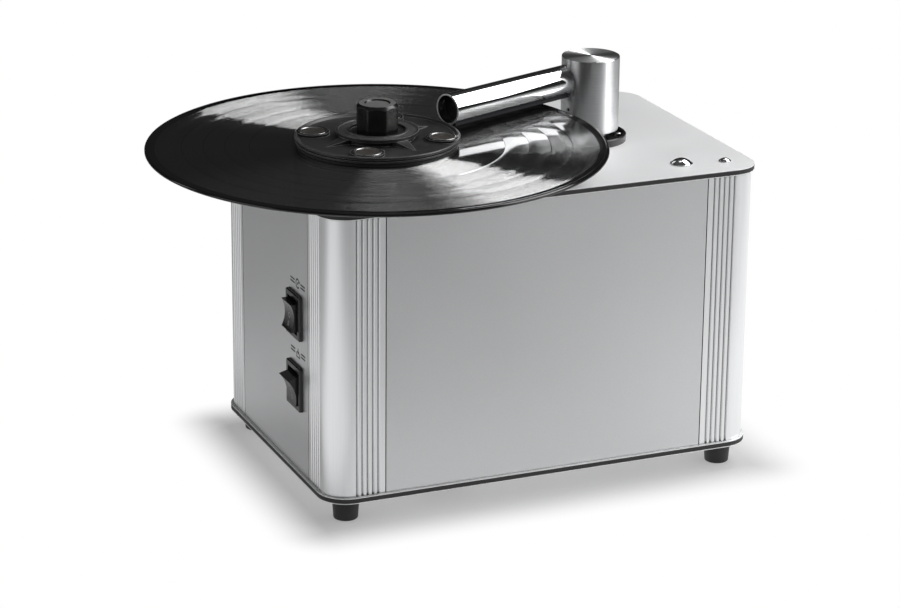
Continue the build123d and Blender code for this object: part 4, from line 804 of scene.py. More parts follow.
@dataclass(frozen=True)
class Ink:
    """Strokes of ink on a face of a CAD node that looks along -X.

    The strokes lie in a plane seen from the left: their first coordinate runs to the viewer's
    right, their second runs up. Each is carried onto the node's own surface.
    """

    node: str
    centre: Point
    width: float
    proud: float
    sunk: float = 0.1 * MM
    start: float = 10 * MM

    def surface(self, right: float, up: float) -> Vector:
        """Point of the node's surface behind a point of the drawing."""
        y, z = self.centre[0] - right, self.centre[1] + up
        start = Vector((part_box(self.node)[0].x - self.start, y, z))
        hit, point, _, _ = bpy.data.objects[self.node].ray_cast(start, Vector((1, 0, 0)))
        if not hit:
            raise ValueError(f"ink at {right}, {up} misses {self.node}")
        return point

    def mesh(self, name: str, strokes: Iterable[Profile]) -> bpy.types.Mesh:
        """Lay every stroke on the surface as a thin raised band.

        Args:
            name: Name of the mesh.
            strokes: Each a row of points; one that ends where it starts is closed.

        Returns:
            The mesh.
        """
        work = bmesh.new()
        for stroke in strokes:
            self.band(work, [Vector(point) for point in stroke])
        return baked(name, work)

    def band(self, work: bmesh.types.BMesh, row: list[Vector]) -> None:
        """Add one stroke.

        Args:
            work: The mesh in progress.
            row: Points along the middle of the stroke.
        """
        closed = (row[0] - row[-1]).length < MERGE_DISTANCE
        if closed:
            row = row[:-1]
        rings = []
        for index, point in enumerate(row):
            last = row[index - 1] if index or closed else point
            after = row[(index + 1) % len(row)] if index + 1 < len(row) or closed else point
            along = (after - last).normalized()
            side = Vector((-along.y, along.x)) * self.width / 2
            ring = []
            for offset, lift in (
                (side, self.proud), (-side, self.proud), (-side, -self.sunk), (side, -self.sunk)
            ):
                spot = self.surface(*(point + offset))
                ring.append(work.verts.new(spot - Vector((lift, 0, 0))))
            rings.append(ring)
        pairs = list(zip(rings, rings[1:]))
        if closed:
            pairs.append((rings[-1], rings[0]))
        else:
            work.faces.new(rings[0])
            work.faces.new(rings[-1][::-1])
        for low, high in pairs:
            for index in range(4):
                work.faces.new([low[index - 1], low[index], high[index], high[index - 1]])


# ------------------------------------------------------------------ sub-assemblies
def dressing(**finishes: Finish) -> dict[str, Finish]:
    """Field that holds these finishes, by CAD node."""
    return field(default_factory=lambda: dict(finishes))


@dataclass
class SubAssembly:
    """What every sub-assembly does: dress its CAD nodes, then add its own pieces."""

    finishes: dict[str, Finish] = dressing()

    def dress(self, nodes: dict[str, bpy.types.Object]) -> None:
        """Give each CAD node its finish.

        Args:
            nodes: The frame's nodes by name.
        """
        for name, finish in self.finishes.items():
            data = nodes[name].data
            data.materials.clear()
            data.materials.append(finish.material())
            LOG.info("%s dressed with %s", name, finish.name)

    def build(self) -> None:
        """Add pieces of its own; plain sub-assemblies have none."""


@dataclass
class Case(SubAssembly):
    """Plates, posts, panels, feet and the bolts that hold them."""

    finishes: dict[str, Finish] = dressing(
        top_plate_core=CORE, top_plate_skins=DECK_SKIN,
        bottom_plate_core=CORE, bottom_plate_skins=DECK_SKIN,
        post_front_left=EXTRUDED, post_front_right=EXTRUDED,
        post_rear_left=EXTRUDED, post_rear_right=EXTRUDED,
        front_panel=BLASTED, rear_panel=BLASTED, left_panel=BLASTED, right_panel=BLASTED,
        feet=RUBBER, foot_screws=STEEL, tie_bolts=STEEL, deck_inserts=BRASS,
        vent_cap=CHROME, dome_screw=CHROME, pan_screws=STEEL,
    )
    vent_height: float = 3.9 * MM
    vent_stem: float = 4.0 * MM
    screw_height: float = 2.4 * MM
    screw_stem: float = 2.0 * MM
    dome_rim: float = 0.25 * MM
    dome_steps: int = 24
    head_radius: float = 2.8 * MM
    head_height: float = 2.0 * MM
    head_side: float = 0.4
    head_round: float = 1.2 * MM
    head_steps: int = 8
    head_turn: float = 37.0
    shank_radius: float = 1.5 * MM
    recess: tuple[float, float, float] = (0.62 * MM, 3.3 * MM, 1.1 * MM)

    def build(self) -> None:
        """Add smooth domes and the screws with their cross recesses."""
        self.dome("vent_cap", "vent_dome_cap", self.vent_height, self.vent_stem)
        self.dome("dome_screw", "screw_dome", self.screw_height, self.screw_stem)
        self.screws()

    def dome(self, node: str, name: str, height: float, stem: float) -> None:
        """Turn a domed head on its stem.

        Args:
            node: CAD node that it stands for.
            name: Name of the piece.
            height: Height of the head.
            stem: Radius of the stem.
        """
        low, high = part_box(node)
        radius = (high.x - low.x) / 2
        bottom = high.z - height
        ball = (radius**2 + height**2) / (2 * height)
        top = math.asin(radius / ball)
        rim = self.dome_rim
        profile = [(0.0, low.z), (stem, low.z), (stem, bottom)]
        profile += [(radius - rim, bottom), (radius, bottom + rim)]
        for step in range(self.dome_steps):
            angle = top * (1 - step / self.dome_steps)
            reach = min(radius, ball * math.sin(angle))
            profile.append((reach, max(bottom + 2 * rim, high.z - ball * (1 - math.cos(angle)))))
        profile.append((0.0, high.z))
        mesh = lathe_mesh(name, profile, upright(*middle(node).xy))
        placed("cabinet", "dome_chrome", finished(name, mesh, CHROME, 50.0), node)

    def pan_head(self, tail: float) -> list[Point]:
        """Half section of a pan head on a shank that reaches down by its tail."""
        tall, radius, shank = self.head_height, self.head_radius, self.shank_radius
        side = tall * self.head_side
        head = [(0.0, -tail), (shank, -tail), (shank, 0.0), (radius, 0.0), (radius, side)]
        for step in range(1, self.head_steps + 1):
            angle = math.radians(90 * step / self.head_steps)
            inward = self.head_round * (1 - math.cos(angle))
            head.append((radius - inward, side + (tall - side) * math.sin(angle)))
        return [*head, (0.0, tall)]

    def screws(self) -> None:
        """Turn every pan head, cut its cross recess and put them all in one mesh."""
        wide, long, deep = self.recess
        tall = self.head_height
        meshes, places = [], []
        for index, (low, high) in enumerate(islands("pan_screws")):
            mesh = lathe_mesh("screw", self.pan_head(high.z - low.z - tall), Matrix.Identity(4), 64)
            for turn in (0.0, 90.0):
                frame = upright(0, 0, tall - deep) @ turned_frame(turn + self.head_turn * index, "Z")
                mesh = cut(mesh, bar_mesh("recess", Vector((long, wide, 2 * deep)), frame))
            meshes.append(mesh)
            x, y = ((low + high) / 2).xy
            if high.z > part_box("top_plate_skins")[1].z:
                places.append(upright(x, y, high.z - tall))
            else:
                places.append(upright(x, y, low.z + tall) @ turned_frame(180.0, "X"))
        mesh = joined("cross_screws", meshes, places)
        placed("cabinet", "fastener", finished("cross_screws", mesh, STEEL), "pan_screws")


@dataclass
class Inside(SubAssembly):
    """Drive, tank, fan and board inside the case."""

    finishes: dict[str, Finish] = dressing(
        gear_motor=STEEL, motor_bracket=MILLED, shaft_coupling=MILLED, waste_tank=TANK, tank_lid=TANK,
        suction_hose=RUBBER, blower_housing=MOULDED, blower_impeller=MOULDED, blower_motor=STEEL,
        blower_foot=RUBBER, power_board=BOARD, switch_terminals=BRASS, suction_pipe=MILLED,
    )


@dataclass
class Turntable(SubAssembly):
    """Bearing, platter and the record with its grooves."""

    finishes: dict[str, Finish] = dressing(
        bearing_housing=MILLED, thrust_washer=MOULDED, spindle=STEEL, platter=MILLED, platter_mat=RUBBER,
    )
    bead: float = 2.6 * MM
    bead_edge: float = 0.9 * MM
    bead_rise: float = 0.5 * MM
    bead_foot: float = 0.06 * MM
    bead_round: float = 0.3 * MM
    bead_shares: Range = (0.7, 0.25)
    land_sink: float = 0.25 * MM
    label_radius: float = 50.0 * MM
    label_thick: float = 0.1 * MM
    label_margin: Range = (0.5 * MM, 2.5 * MM)
    label_ring: float = 0.72
    label_groove: float = 0.6 * MM
    hole_radius: float = 3.62 * MM
    gaps: tuple[float, ...] = (83 * MM, 99 * MM, 113 * MM, 127 * MM)
    gap_width: float = 0.4 * MM
    gap_depth: float = 0.03 * MM
    gap_slope: float = 0.2 * MM
    lead_in: float = 4.0 * MM
    lead_out: float = 66.5 * MM
    tip_radius: float = 3.56 * MM
    tip_cone: Range = (0.8 * MM, 1.0 * MM)
    thread_root: float = 3.25 * MM
    thread_pitch: float = 0.8 * MM
    thread_start: float = 1.5 * MM
    thread_shares: Range = (0.4, 0.8)

    def build(self) -> None:
        """Build the record, the spindle and the two labels."""
        low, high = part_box("record")
        frame = Matrix.Translation(middle("record"))
        outer = (high.x - low.x) / 2
        half = (high.z - low.z) / 2
        mesh = lathe_mesh("record_disc", self.section(outer, half), frame, 512)
        disc = finished("record_disc", mesh, VINYL, 50.0)
        repaint(
            mesh, VINYL_LAND,
            lambda polygon: not self.grooved((polygon.center - frame.translation).xy.length, outer),
        )
        placed("platter", "vinyl", disc, "record")
        self.shaft()
        for side, name in ((1, "label_upper"), (-1, "label_lower")):
            self.label(name, frame, side * half)

    def shaft(self) -> None:
        """Turn the spindle with the fine thread on its tip."""
        low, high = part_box("spindle")
        thick, slim, pitch = (high.x - low.x) / 2, self.tip_radius, self.thread_pitch
        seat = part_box("record")[0].z
        profile = [(0.0, low.z), (thick, low.z), (thick, seat), (slim, seat)]
        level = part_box("record")[1].z + self.thread_start
        valley, crest = (share * pitch for share in self.thread_shares)
        while level < high.z - 2 * pitch:
            profile += [(slim, level), (self.thread_root, level + valley), (slim, level + crest)]
            level += pitch
        inward, down = self.tip_cone
        profile += [(slim, high.z - down), (slim - inward, high.z), (0.0, high.z)]
        mesh = lathe_mesh("spindle_thread", profile, upright(*middle("spindle").xy), 96)
        placed("platter", "spindle_steel", finished("spindle_thread", mesh, STEEL), "spindle")

    def grooved(self, distance: float, outer: float) -> bool:
        """Whether the surface at this distance from the axis has recorded grooves."""
        if not self.lead_out < distance < outer - self.bead - self.lead_in:
            return False
        return all(abs(distance - gap) > self.gap_width / 2 for gap in self.gaps)

    def section(self, outer: float, half: float) -> list[Point]:
        """Closed half section of the record, from the hole round both faces.

        Args:
            outer: Radius of the record.
            half: Half of its thickness.

        Returns:
            (radius, height) points.
        """
        land = half - self.land_sink
        inner = outer - self.bead
        under = half - self.label_thick
        shoulder, side = (share * half for share in self.bead_shares)
        near, far = (self.label_radius + margin for margin in self.label_margin)
        upper = [(self.hole_radius, under), (near, under), (far, land)]
        for gap in self.gaps:
            flat = self.gap_width / 2
            wide = flat + self.gap_slope
            deep = land - self.gap_depth
            upper += [(gap - wide, land), (gap - flat, deep), (gap + flat, deep), (gap + wide, land)]
        upper += [
            (inner - self.lead_in, land),
            (inner - self.bead_edge, land),
            (inner, half - self.bead_foot),
            (inner + self.bead_rise, half),
            (outer - self.bead_edge, half),
            (outer - self.bead_round, shoulder),
            (outer, side),
        ]
        return upper + [(radius, -height) for radius, height in reversed(upper)]

    def label(self, name: str, frame: Matrix, level: float) -> None:
        """Build one paper label, with a pressed ring.

        Args:
            name: Name of the piece.
            frame: The record's own frame.
            level: Outer face of the label, above or below the record's middle.
        """
        under = level - math.copysign(self.label_thick, level)
        ring, groove = self.label_radius * self.label_ring, self.label_groove
        profile = [
            (self.hole_radius, under), (self.hole_radius, level), (ring - groove, level),
            (ring, (level + under) / 2), (ring + groove, level),
            (self.label_radius, level), (self.label_radius, under),
        ]
        placed("platter", "vinyl", finished(name, lathe_mesh(name, profile, frame), LABEL))


@dataclass
class Clamp(SubAssembly):
    """Record clamp, its steel discs and the knob."""

    finishes: dict[str, Finish] = dressing(
        clamp_disc=CLAMP_BLACK, clamp_weights=STEEL, clamp_seal=RUBBER, clamp_knob=SATIN_BLACK,
        knob_insert=BRASS,
    )
    weight_circle: float = 42.4 * MM
    weight_first: float = 60.0
    weight_count: int = 4
    weight_radius: float = 9.2 * MM
    weight_rim: float = 1.1 * MM
    lip_slope: float = 0.3 * MM
    face_sink: float = 0.35 * MM
    face_margin: float = 0.2 * MM
    gasket_gap: float = 0.75 * MM
    gasket_half: Range = (0.5 * MM, 0.4 * MM)
    gasket_sink: float = 0.45 * MM
    ring_radii: Range = (19.6 * MM, 25.6 * MM)
    ring_depth: float = 1.0 * MM
    knob_dish: float = 2.0 * MM
    facing_up: float = 0.9

    def build(self) -> None:
        """Paint the grained ring and the knob's top, then add the steel discs and their rings."""
        centre = middle("clamp_disc")
        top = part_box("clamp_disc")[1].z
        knob_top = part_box("clamp_knob")[1].z
        low, high = self.ring_radii

        def on_ring(polygon: bpy.types.MeshPolygon) -> bool:
            """Whether a face is the sunk flat of the clamp's ring."""
            spot = polygon.center
            near = abs(spot.z - top) < self.ring_depth and polygon.normal.z > self.facing_up
            return near and low < (spot - centre).xy.length < high

        def on_knob(polygon: bpy.types.MeshPolygon) -> bool:
            """Whether a face is on the knob's flat or dished top."""
            return polygon.normal.z > self.facing_up and polygon.center.z > knob_top - self.knob_dish

        repaint(bpy.data.objects["clamp_disc"].data, RING_GRAIN, on_ring)
        repaint(bpy.data.objects["clamp_knob"].data, KNOB_TOP, on_knob)
        self.discs(centre)

    def discs(self, centre: Vector) -> None:
        """Turn the steel discs with a bright lip, and the black rings round them.

        Args:
            centre: Middle of the clamp.
        """
        low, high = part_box("clamp_weights")
        radius, rim, face = self.weight_radius, self.weight_rim, high.z - self.face_sink
        inner = radius - rim
        lip = [(radius, low.z), (radius, high.z), (inner, high.z), (inner - self.lip_slope, face)]
        disc = rounded([(0.0, low.z), *lip, (0.0, face)], self.face_sink)
        across, tall = self.gasket_half
        middle_line = radius + self.gasket_gap
        turns = [math.tau * step / 16 for step in range(16)]
        gasket = [(middle_line + across * math.cos(turn), tall * math.sin(turn)) for turn in turns]
        places = []
        for index in range(self.weight_count):
            angle = math.radians(self.weight_first + 360 * index / self.weight_count)
            arm = Vector((math.cos(angle), math.sin(angle))) * self.weight_circle
            places.append(centre.xy + arm)

        def on_face(polygon: bpy.types.MeshPolygon) -> bool:
            """Whether a face of the discs lies inside a lip."""
            inside = min((polygon.center.xy - place).length for place in places)
            return inside < inner - self.face_margin and polygon.normal.z > self.facing_up

        steel = [lathe_mesh("weight", disc, Matrix.Identity(4), 128)] * len(places)
        mesh = joined("weight_discs", steel, [upright(*place) for place in places])
        piece = finished("weight_discs", mesh, STEEL)
        repaint(mesh, WEIGHT_FACE, on_face)
        placed("clamp", "weight_steel", piece, "clamp_weights")
        black = [lathe_mesh("gasket", gasket, Matrix.Identity(4), 128)] * len(places)
        level = high.z - self.gasket_sink
        mesh = joined("weight_rings", black, [upright(*place, level) for place in places])
        placed("clamp", "clamp_black", finished("weight_rings", mesh, SATIN_BLACK, 60.0))


@dataclass
class SuctionArm(SubAssembly):
    """Column, tube, lips and the cup that the arm stands in."""

    finishes: dict[str, Finish] = dressing(
        base_cup=SATIN_BLACK, lift_bush=MOULDED, arm_spring=STEEL, arm_column=COLUMN,
        arm_set_screw=MOULDED, arm_tube=CHROME, arm_lips=FELT, arm_end_plug=MOULDED,
    )
    arm_angle: float = -158.9
    arm_offset: float = 7.1 * MM
    tube_radius: float = 10.4 * MM
    tube_wall: float = 1.2 * MM
    tube_ends: Range = (8.6 * MM, 128.99 * MM)
    tube_edge: float = 0.3 * MM
    bright_end: float = 0.45 * MM
    slot: tuple[float, float, float] = (42.0 * MM, 7.0 * MM, 3.0 * MM)
    slot_cutter: Range = (1.0 * MM, 2.0 * MM)
    column_radius: float = 19.9 * MM
    column_bores: Range = (16.9 * MM, 14.9 * MM)
    column_cap: float = 4.8 * MM
    column_edge: float = 0.7 * MM
    hole_ends: Range = (2.0 * MM, 30.0 * MM)
    hole_gap: float = 0.05 * MM
    screw_angle: float = -163.0
    screw_radius: float = 1.35 * MM
    drill_past: float = 1.0 * MM
    facing_up: float = 0.95

    def along(self) -> Matrix:
        """Frame on the tube's axis; its Z runs from the column to the free end."""
        turn = turned_frame(self.arm_angle, "Z")
        behind = turn @ Vector((0.0, -self.arm_offset, 0.0))
        x, y = (middle("arm_column") + behind).xy
        return upright(x, y, middle("arm_tube").z) @ turn @ turned_frame(90.0, "Y")

    def build(self) -> None:
        """Turn the tube and the column afresh, with finer edges than the CAD mesh."""
        self.tube()
        self.column()

    def tube(self) -> None:
        """Turn the tube and mill its slot."""
        outer, inner = self.tube_radius, self.tube_radius - self.tube_wall
        start, end = self.tube_ends
        profile = rounded([(inner, start), (outer, start), (outer, end), (inner, end)], self.tube_edge)
        frame = self.along()
        mesh = lathe_mesh("suction_tube", profile, frame, 192)
        first, last, width = self.slot
        lift, more = self.slot_cutter
        local = frame @ upright(outer / 2 + lift, 0.0, first)
        mesh = cut(mesh, bar_mesh("slot", Vector((outer + more, width, end - last - first)), local))
        piece = finished("suction_tube", mesh, CHROME, 45.0)
        inward = frame.inverted()
        repaint(mesh, CUT_EDGE, lambda polygon: (inward @ polygon.center).z > end - self.bright_end)
        placed("arm", "tube_chrome", piece, "arm_tube")

    def pin(self, name: str, radius: float, ends: Range, frame: Matrix, turns: int) -> bpy.types.Mesh:
        """Round cutter.

        Args:
            name: Name of the mesh.
            radius: Its radius.
            ends: Where it starts and ends on the frame's Z.
            frame: Frame on its axis.
            turns: Steps round it.

        Returns:
            The mesh.
        """
        start, end = ends
        return lathe_mesh(name, [(0.0, start), (radius, start), (radius, end), (0.0, end)], frame, turns)

    def column(self) -> None:
        """Turn the column with its bore, and drill it for the tube and the set screw."""
        low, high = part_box("arm_column")
        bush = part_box("lift_bush")[1].z
        bore, chamber = self.column_bores
        outer = self.column_radius
        under = high.z - self.column_cap
        fine = rounded([(bore, low.z), (outer, low.z), (outer, high.z), (0.0, high.z)], self.column_edge)
        profile = fine + [(0.0, under), (chamber, under), (chamber, bush), (bore, bush)]
        axis = middle("arm_column").xy
        mesh = lathe_mesh("turned_column", profile, upright(*axis), 256)
        hole = self.tube_radius + self.hole_gap
        mesh = cut(mesh, self.pin("hole", hole, self.hole_ends, self.along(), 192))
        frame = upright(*axis, middle("arm_set_screw").z) @ turned_frame(self.screw_angle, "Z")
        ends = (bore - self.drill_past, outer + self.drill_past)
        mesh = cut(mesh, self.pin("drill", self.screw_radius, ends, frame @ turned_frame(90.0, "Y"), 48))
        piece = finished("turned_column", mesh, COLUMN, 40.0)
        repaint(mesh, COLUMN_TOP, lambda polygon: polygon.normal.z > self.facing_up)
        placed("arm", "column", piece, "arm_column")


@dataclass
class Switches(SubAssembly):
    """Two rocker switches with their marks."""

    finishes: dict[str, Finish] = dressing(
        motor_switch=MOULDED, motor_rocker=SATIN_BLACK, vacuum_switch=MOULDED, vacuum_rocker=SATIN_BLACK,
    )
    mark_height: float = 3.0 * MM
    mark_spacing: float = 5.6 * MM
    mark_width: float = 0.4 * MM
    mark_proud: float = 0.03 * MM
    two_half: float = 0.8 * MM
    vacuum_scale: float = 0.8
    vacuum_shift: float = 1.3 * MM
    vacuum_levels: Range = (-2.4 * MM, -5.8 * MM)
    sign_rise: Range = (22.6 * MM, 24.1 * MM)
    sign_shift: float = 4.2 * MM
    sign_size: float = 3.0 * MM
    sign_width: float = 1.1 * MM
    sign_proud: float = 0.04 * MM
    dash_ends: Range = (5.6 * MM, 13.5 * MM)
    dash_level: float = 1.1 * MM
    dot_radius: float = 0.35 * MM
    arrow_arc: Range = (20.0, 320.0)
    arrow_head: tuple[Point, Point] = ((-1.4 * MM, 0.2 * MM), (1.0 * MM, 1.1 * MM))
    down_head: tuple[float, float, float] = (0.5, 0.3, 0.35)

    def build(self) -> None:
        """Print the position marks on the rockers and a sign above each switch."""
        tall, step = self.mark_height / 2, self.mark_spacing
        two = [self.bar(tall, side * self.two_half, -step) for side in (-1, 1)]
        motor = [self.bar(tall, 0.0, step), arc(tall, 0, 360), *two]
        half = tall * self.vacuum_scale
        upper, lower = self.vacuum_levels
        vacuum = [
            self.bar(half, -self.vacuum_shift, upper), arc(half, 0, 360, self.vacuum_shift, lower)
        ]
        self.print_on("motor_rocker", "motor_marks", motor)
        self.print_on("vacuum_rocker", "vacuum_marks", vacuum)
        self.sign("motor_switch", "motor_sign", self.sign_rise[0], self.turning())
        self.sign("vacuum_switch", "vacuum_sign", self.sign_rise[1], self.sucking())

    def bar(self, half: float, x: float, y: float) -> list[Point]:
        """Upright bar of this half height at a point."""
        return [(x, y - half), (x, y + half)]

    def print_on(self, node: str, name: str, strokes: list[list[Point]]) -> None:
        """Print white marks on a rocker.

        Args:
            node: The rocker.
            name: Name of the piece.
            strokes: The strokes.
        """
        spot = middle(node)
        ink = Ink(node, (spot.y, spot.z), self.mark_width, self.mark_proud)
        placed(node, "switch_black", finished(name, ink.mesh(name, strokes), WHITE_MARK))

    def sign(self, node: str, name: str, rise: float, strokes: list[list[Point]]) -> None:
        """Print a dark sign on the left panel above a switch.

        Args:
            node: The switch.
            name: Name of the piece.
            rise: Height of the sign's middle above the switch's.
            strokes: The strokes.
        """
        spot = middle(node)
        centre = (spot.y - self.sign_shift, spot.z + rise)
        ink = Ink("left_panel", centre, self.sign_width, self.sign_proud)
        placed("cabinet", "panel", finished(name, ink.mesh(name, strokes), DARK_MARK))

    def dashes(self) -> list[list[Point]]:
        """Two dashes on each side of a sign."""
        near, far = self.dash_ends
        levels = (-self.dash_level, self.dash_level)
        return [[(side * near, y), (side * far, y)] for side in (-1, 1) for y in levels]

    def turning(self) -> list[list[Point]]:
        """Sign for the turntable: an arrow that runs round a dot."""
        size = self.sign_size
        start, end = self.arrow_arc
        x, y = size * math.cos(math.radians(start)), size * math.sin(math.radians(start))
        head = [(x + right, y + up) for right, up in (self.arrow_head[0], (0.0, 0.0), self.arrow_head[1])]
        return [arc(size, start, end), head, arc(self.dot_radius, 0, 360), *self.dashes()]

    def sucking(self) -> list[list[Point]]:
        """Sign for the suction: an arrow that points down into a cup."""
        size = self.sign_size
        wide, rise, tip = (share * size for share in self.down_head)
        shaft = [(0.0, size), (0.0, -rise)]
        head = [(-wide, rise), (0.0, -tip), (wide, rise)]
        cup = [(-size, 0.0), (-size, -size), (size, -size), (size, 0.0)]
        return [shaft, head, cup, *self.dashes()]


@dataclass
class RearFittings(SubAssembly):
    """Mains inlet and drain."""

    finishes: dict[str, Finish] = dressing(
        mains_inlet=MOULDED, inlet_pins=BRASS, drain_spigot=MOULDED, drain_cap=RUBBER,
    )


# ------------------------------------------------------------------ studio
@dataclass(frozen=True)
class Lamp:
    """One soft box, aimed at the middle of the machine; angles are in degrees."""

    name: str
    azimuth: float
    elevation: float
    distance: float
    size: Range
    radiance: float
    roll: float = 0.0

    def add(self, target: Vector) -> None:
        """Add the lamp to the scene.

        Args:
            target: The point that it is aimed at.
        """
        width, height = self.size
        data = bpy.data.lights.new(self.name, "AREA")
        data.shape = "RECTANGLE"
        data.size = width
        data.size_y = height
        data.energy = self.radiance * math.pi * width * height
        lamp = bpy.data.objects.new(self.name, data)
        azimuth, elevation = math.radians(self.azimuth), math.radians(self.elevation)
        flat = math.cos(elevation)
        away = Vector((math.cos(azimuth) * flat, math.sin(azimuth) * flat, math.sin(elevation)))
        lamp.location = target + away * self.distance
        turn = (-away).to_track_quat("-Z", "Y").to_matrix().to_4x4()
        lamp.rotation_euler = (turn @ turned_frame(self.roll, "Z")).to_euler()
        lamp.visible_camera = False
        bpy.context.scene.collection.objects.link(lamp)


@dataclass(frozen=True)
class GlowStreak:
    """A glowing stretch of floor that only metal sees, out from a corner of the case: a painted
    reflection.
    """

    start: Point
    heading: float
    near: Range
    far: Range
    share: float
    width: Range = (0.25, 0.08)

    def level(self, graph: Graph, x: Socket, y: Socket) -> Socket:
        """Share of glow at a place on the floor, seen only in reflections.

        Args:
            graph: The floor's graph.
            x: The place's X.
            y: The place's Y.

        Returns:
            The share.
        """
        angle = math.radians(self.heading)
        ahead, side = math.cos(angle), math.sin(angle)
        x = graph.math("SUBTRACT", x, self.start[0])
        y = graph.math("SUBTRACT", y, self.start[1])
        along = graph.math("ADD", graph.times(x, ahead), graph.times(y, side))
        across = graph.math("SUBTRACT", graph.times(y, ahead), graph.times(x, side))
        inside = graph.ramp(graph.math("ABSOLUTE", across), *self.width)
        return graph.times(inside, graph.ramp(along, *self.near), graph.ramp(along, *self.far), self.share)


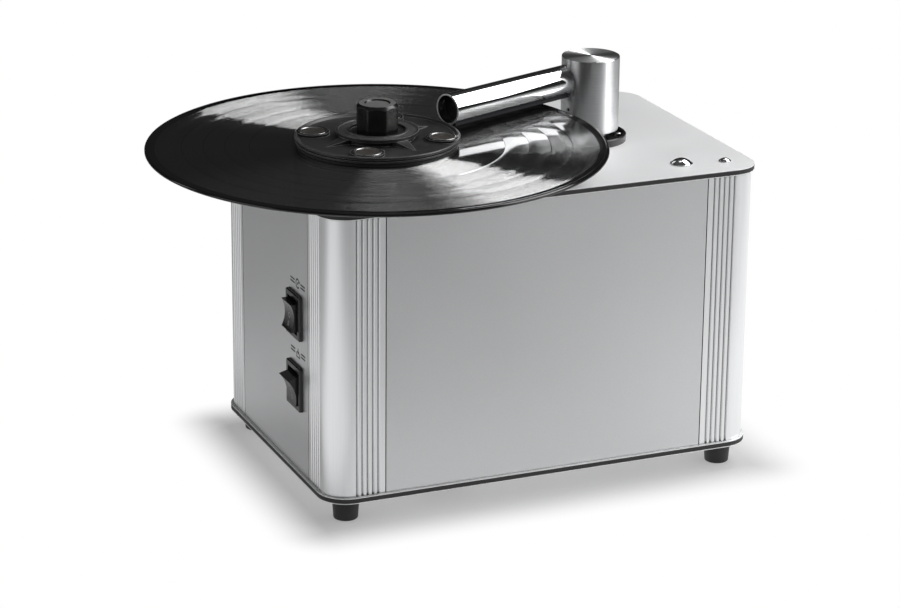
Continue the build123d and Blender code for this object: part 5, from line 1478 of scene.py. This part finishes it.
@dataclass(frozen=True)
class Studio:
    """Floor, lamps, world and camera."""

    floor_size: float = 12.0
    floor_clear: Range = (-0.01, 0.042)
    floor_near: float = 0.2
    front_share: Range = (0.52, 1.0)
    front_depth: Range = (0.3, 0.1)
    front_left: Range = (-0.2, -0.06)
    right_rise: Range = (0.1, 0.35)
    right_reach: Range = (1.0, 0.55)
    # Glowing stretches seen only in reflections: painted reflections in the metal.
    glow_streaks: tuple[GlowStreak, ...] = (
        GlowStreak((-0.108, -0.06), 201.6, (0.0, 0.1), (1.4, 0.7), 0.80, (0.42, 0.16)),
        GlowStreak((0.2057, -0.06), 21.6, (0.02, 0.20), (1.5, 0.8), 1.0, (0.45, 0.18)),
        GlowStreak((-0.108, 0.05), 111.6, (0.03, 0.15), (0.45, 0.15), 0.35),
    )
    mirror_fade: Range = (0.08, 0.34)
    case_middle: tuple[float, float, float] = (48.85 * MM, 45.55 * MM, 0.0)
    case_half: tuple[float, float, float] = (156.9 * MM, 105.25 * MM, 10.0)
    light_levels: Range = (0.10, 0.28)
    light_rise: Range = (0.0, 0.6)
    mirror_levels: Range = (0.02, 0.08)
    mirror_rise: Range = (0.4, 0.9)
    lens: float = 125.187
    sensor: float = 36.0
    camera_at: tuple[float, float, float] = (-0.774588, -1.829119, 0.814667)
    pitch: float = -19.164
    roll: float = -0.528
    heading: float = -23.019
    target: tuple[float, float, float] = (0.05, 0.05, 0.15)
    lamps: tuple[Lamp, ...] = (
        Lamp("key", -12.5, 45.4, 1.51, (2.1, 0.9), 4.9, 39.5),
        Lamp("fill", -178.0, 14.0, 2.4, (1.4, 1.0), 1.3),
        Lamp("strip", -45.0, 6.0, 1.5, (0.25, 0.5), 2.4),
        Lamp("side", 145.0, 22.0, 1.6, (0.25, 0.7), 2.0),
        Lamp("top", 68.4, 75.0, 1.5, (0.4, 0.4), 1.3, 21.6),
    )

    def build(self) -> None:
        """Add everything around the machine."""
        self.add_floor()
        self.add_world()
        self.add_camera()
        for lamp in self.lamps:
            lamp.add(Vector(self.target))
        bpy.context.scene.view_settings.view_transform = "Standard"

    def add_floor(self) -> None:
        """Lay a pale floor that fades to white away from the machine and keeps its shadow; metal sees
        painted reflections of glowing stretches in it.
        """
        work = bmesh.new()
        bmesh.ops.create_grid(work, x_segments=8, y_segments=8, size=self.floor_size / 2)
        floor = finished("studio_floor", baked("studio_floor", work, outward=False), FLOOR)
        graph = Graph(floor.active_material.node_tree, keep=True)
        shader, output = graph.find("BSDF_PRINCIPLED"), graph.find("OUTPUT_MATERIAL")
        white = graph.node("ShaderNodeEmission")
        inputs = {"Fac": self.lift(graph), 1: shader.outputs["BSDF"], 2: white.outputs["Emission"]}
        graph.feed(output.inputs["Surface"], graph.result("ShaderNodeMixShader", inputs, "Shader"))

    def lift(self, graph: Graph) -> Socket:
        """Share of white glow in the floor, by the kind of ray and the place: background for the camera,
        painted reflections for metal.

        Args:
            graph: The floor's graph.

        Returns:
            The share.
        """
        where = graph.object_place()
        size = graph.vector("ABSOLUTE", graph.vector("SUBTRACT", where, self.case_middle))
        past = graph.vector("SUBTRACT", size, self.case_half)
        distance = graph.vector("LENGTH", graph.vector("MAXIMUM", past, (0.0, 0.0, 0.0)))
        near = graph.between(graph.ramp(distance, *self.floor_clear), self.floor_near, 1.0)
        rays = graph.node("ShaderNodeLightPath").outputs
        # Painted reflections: glow that only glossy rays see.
        mirrored_glow = graph.times(rays["Is Glossy Ray"], self.mirror(graph, where, distance))
        seen = graph.math("MAXIMUM", rays["Is Camera Ray"], rays["Is Transmission Ray"])
        return graph.math("MAXIMUM", graph.times(near, seen), mirrored_glow)

    def mirror(self, graph: Graph, where: Socket, distance: Socket) -> Socket:
        """Share of glow that metal sees in the floor, a painted reflection: in front, more to the right,
        and in streaks.

        Args:
            graph: The floor's graph.
            where: Place on the floor.
            distance: Distance from the case.

        Returns:
            The share.
        """
        place = graph.split(where)
        x, y = place["X"], place["Y"]
        right = graph.ramp(x, *self.right_rise)
        front = graph.times(graph.ramp(y, *self.front_depth), graph.ramp(x, *self.front_left))
        front = graph.times(front, graph.between(right, *self.front_share))
        nearer = graph.times(graph.between(right, *self.right_reach), distance)
        close = graph.math("SUBTRACT", 1.0, graph.ramp(nearer, *self.mirror_fade))
        level = graph.times(close, front)
        for glow_streak in self.glow_streaks:
            level = graph.math("MAXIMUM", level, glow_streak.level(graph, x, y))
        return level

    def add_world(self) -> None:
        """Soft light that grows towards the ceiling, and a white background where it is seen."""
        world = bpy.data.worlds.new("studio")
        world.use_nodes = True
        bpy.context.scene.world = world
        graph = Graph(world.node_tree)
        height = graph.split(graph.node("ShaderNodeTexCoord").outputs["Generated"])["Z"]
        light = graph.between(graph.ramp(height, *self.light_rise), *self.light_levels)
        mirror = graph.between(graph.ramp(height, *self.mirror_rise), *self.mirror_levels)
        rays = graph.node("ShaderNodeLightPath").outputs
        seen = graph.math("MAXIMUM", rays["Is Camera Ray"], rays["Is Transmission Ray"])
        level = graph.choose(seen, graph.choose(rays["Is Glossy Ray"], light, mirror), 1.0)
        inputs = {"Color": (1.0, 1.0, 1.0, 1.0), "Strength": level}
        background = graph.result("ShaderNodeBackground", inputs, "Background")
        graph.feed(graph.node("ShaderNodeOutputWorld").inputs["Surface"], background)

    def add_camera(self) -> None:
        """Set up the camera at the viewing angle."""
        data = bpy.data.cameras.new("camera")
        data.lens = self.lens
        data.sensor_width = self.sensor
        data.clip_end = 30.0
        camera = bpy.data.objects.new("camera", data)
        turn = turned_frame(self.heading, "Z") @ turned_frame(self.pitch, "X")
        turn = turn @ turned_frame(self.roll, "Y") @ turned_frame(90.0, "X")
        camera.matrix_world = Matrix.Translation(self.camera_at) @ turn
        bpy.context.scene.collection.objects.link(camera)
        bpy.context.scene.camera = camera


def main() -> None:
    """Load the frame, dress it, and add the visual pieces and the studio."""
    logging.basicConfig(level=logging.INFO, format="%(name)s: %(message)s")
    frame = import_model()
    for assembly in (Case(), Inside(), Turntable(), Clamp(), SuctionArm(), Switches(), RearFittings()):
        assembly.dress(frame["nodes"])
        assembly.build()
    Studio().build()


if __name__ == "__main__":
    main()
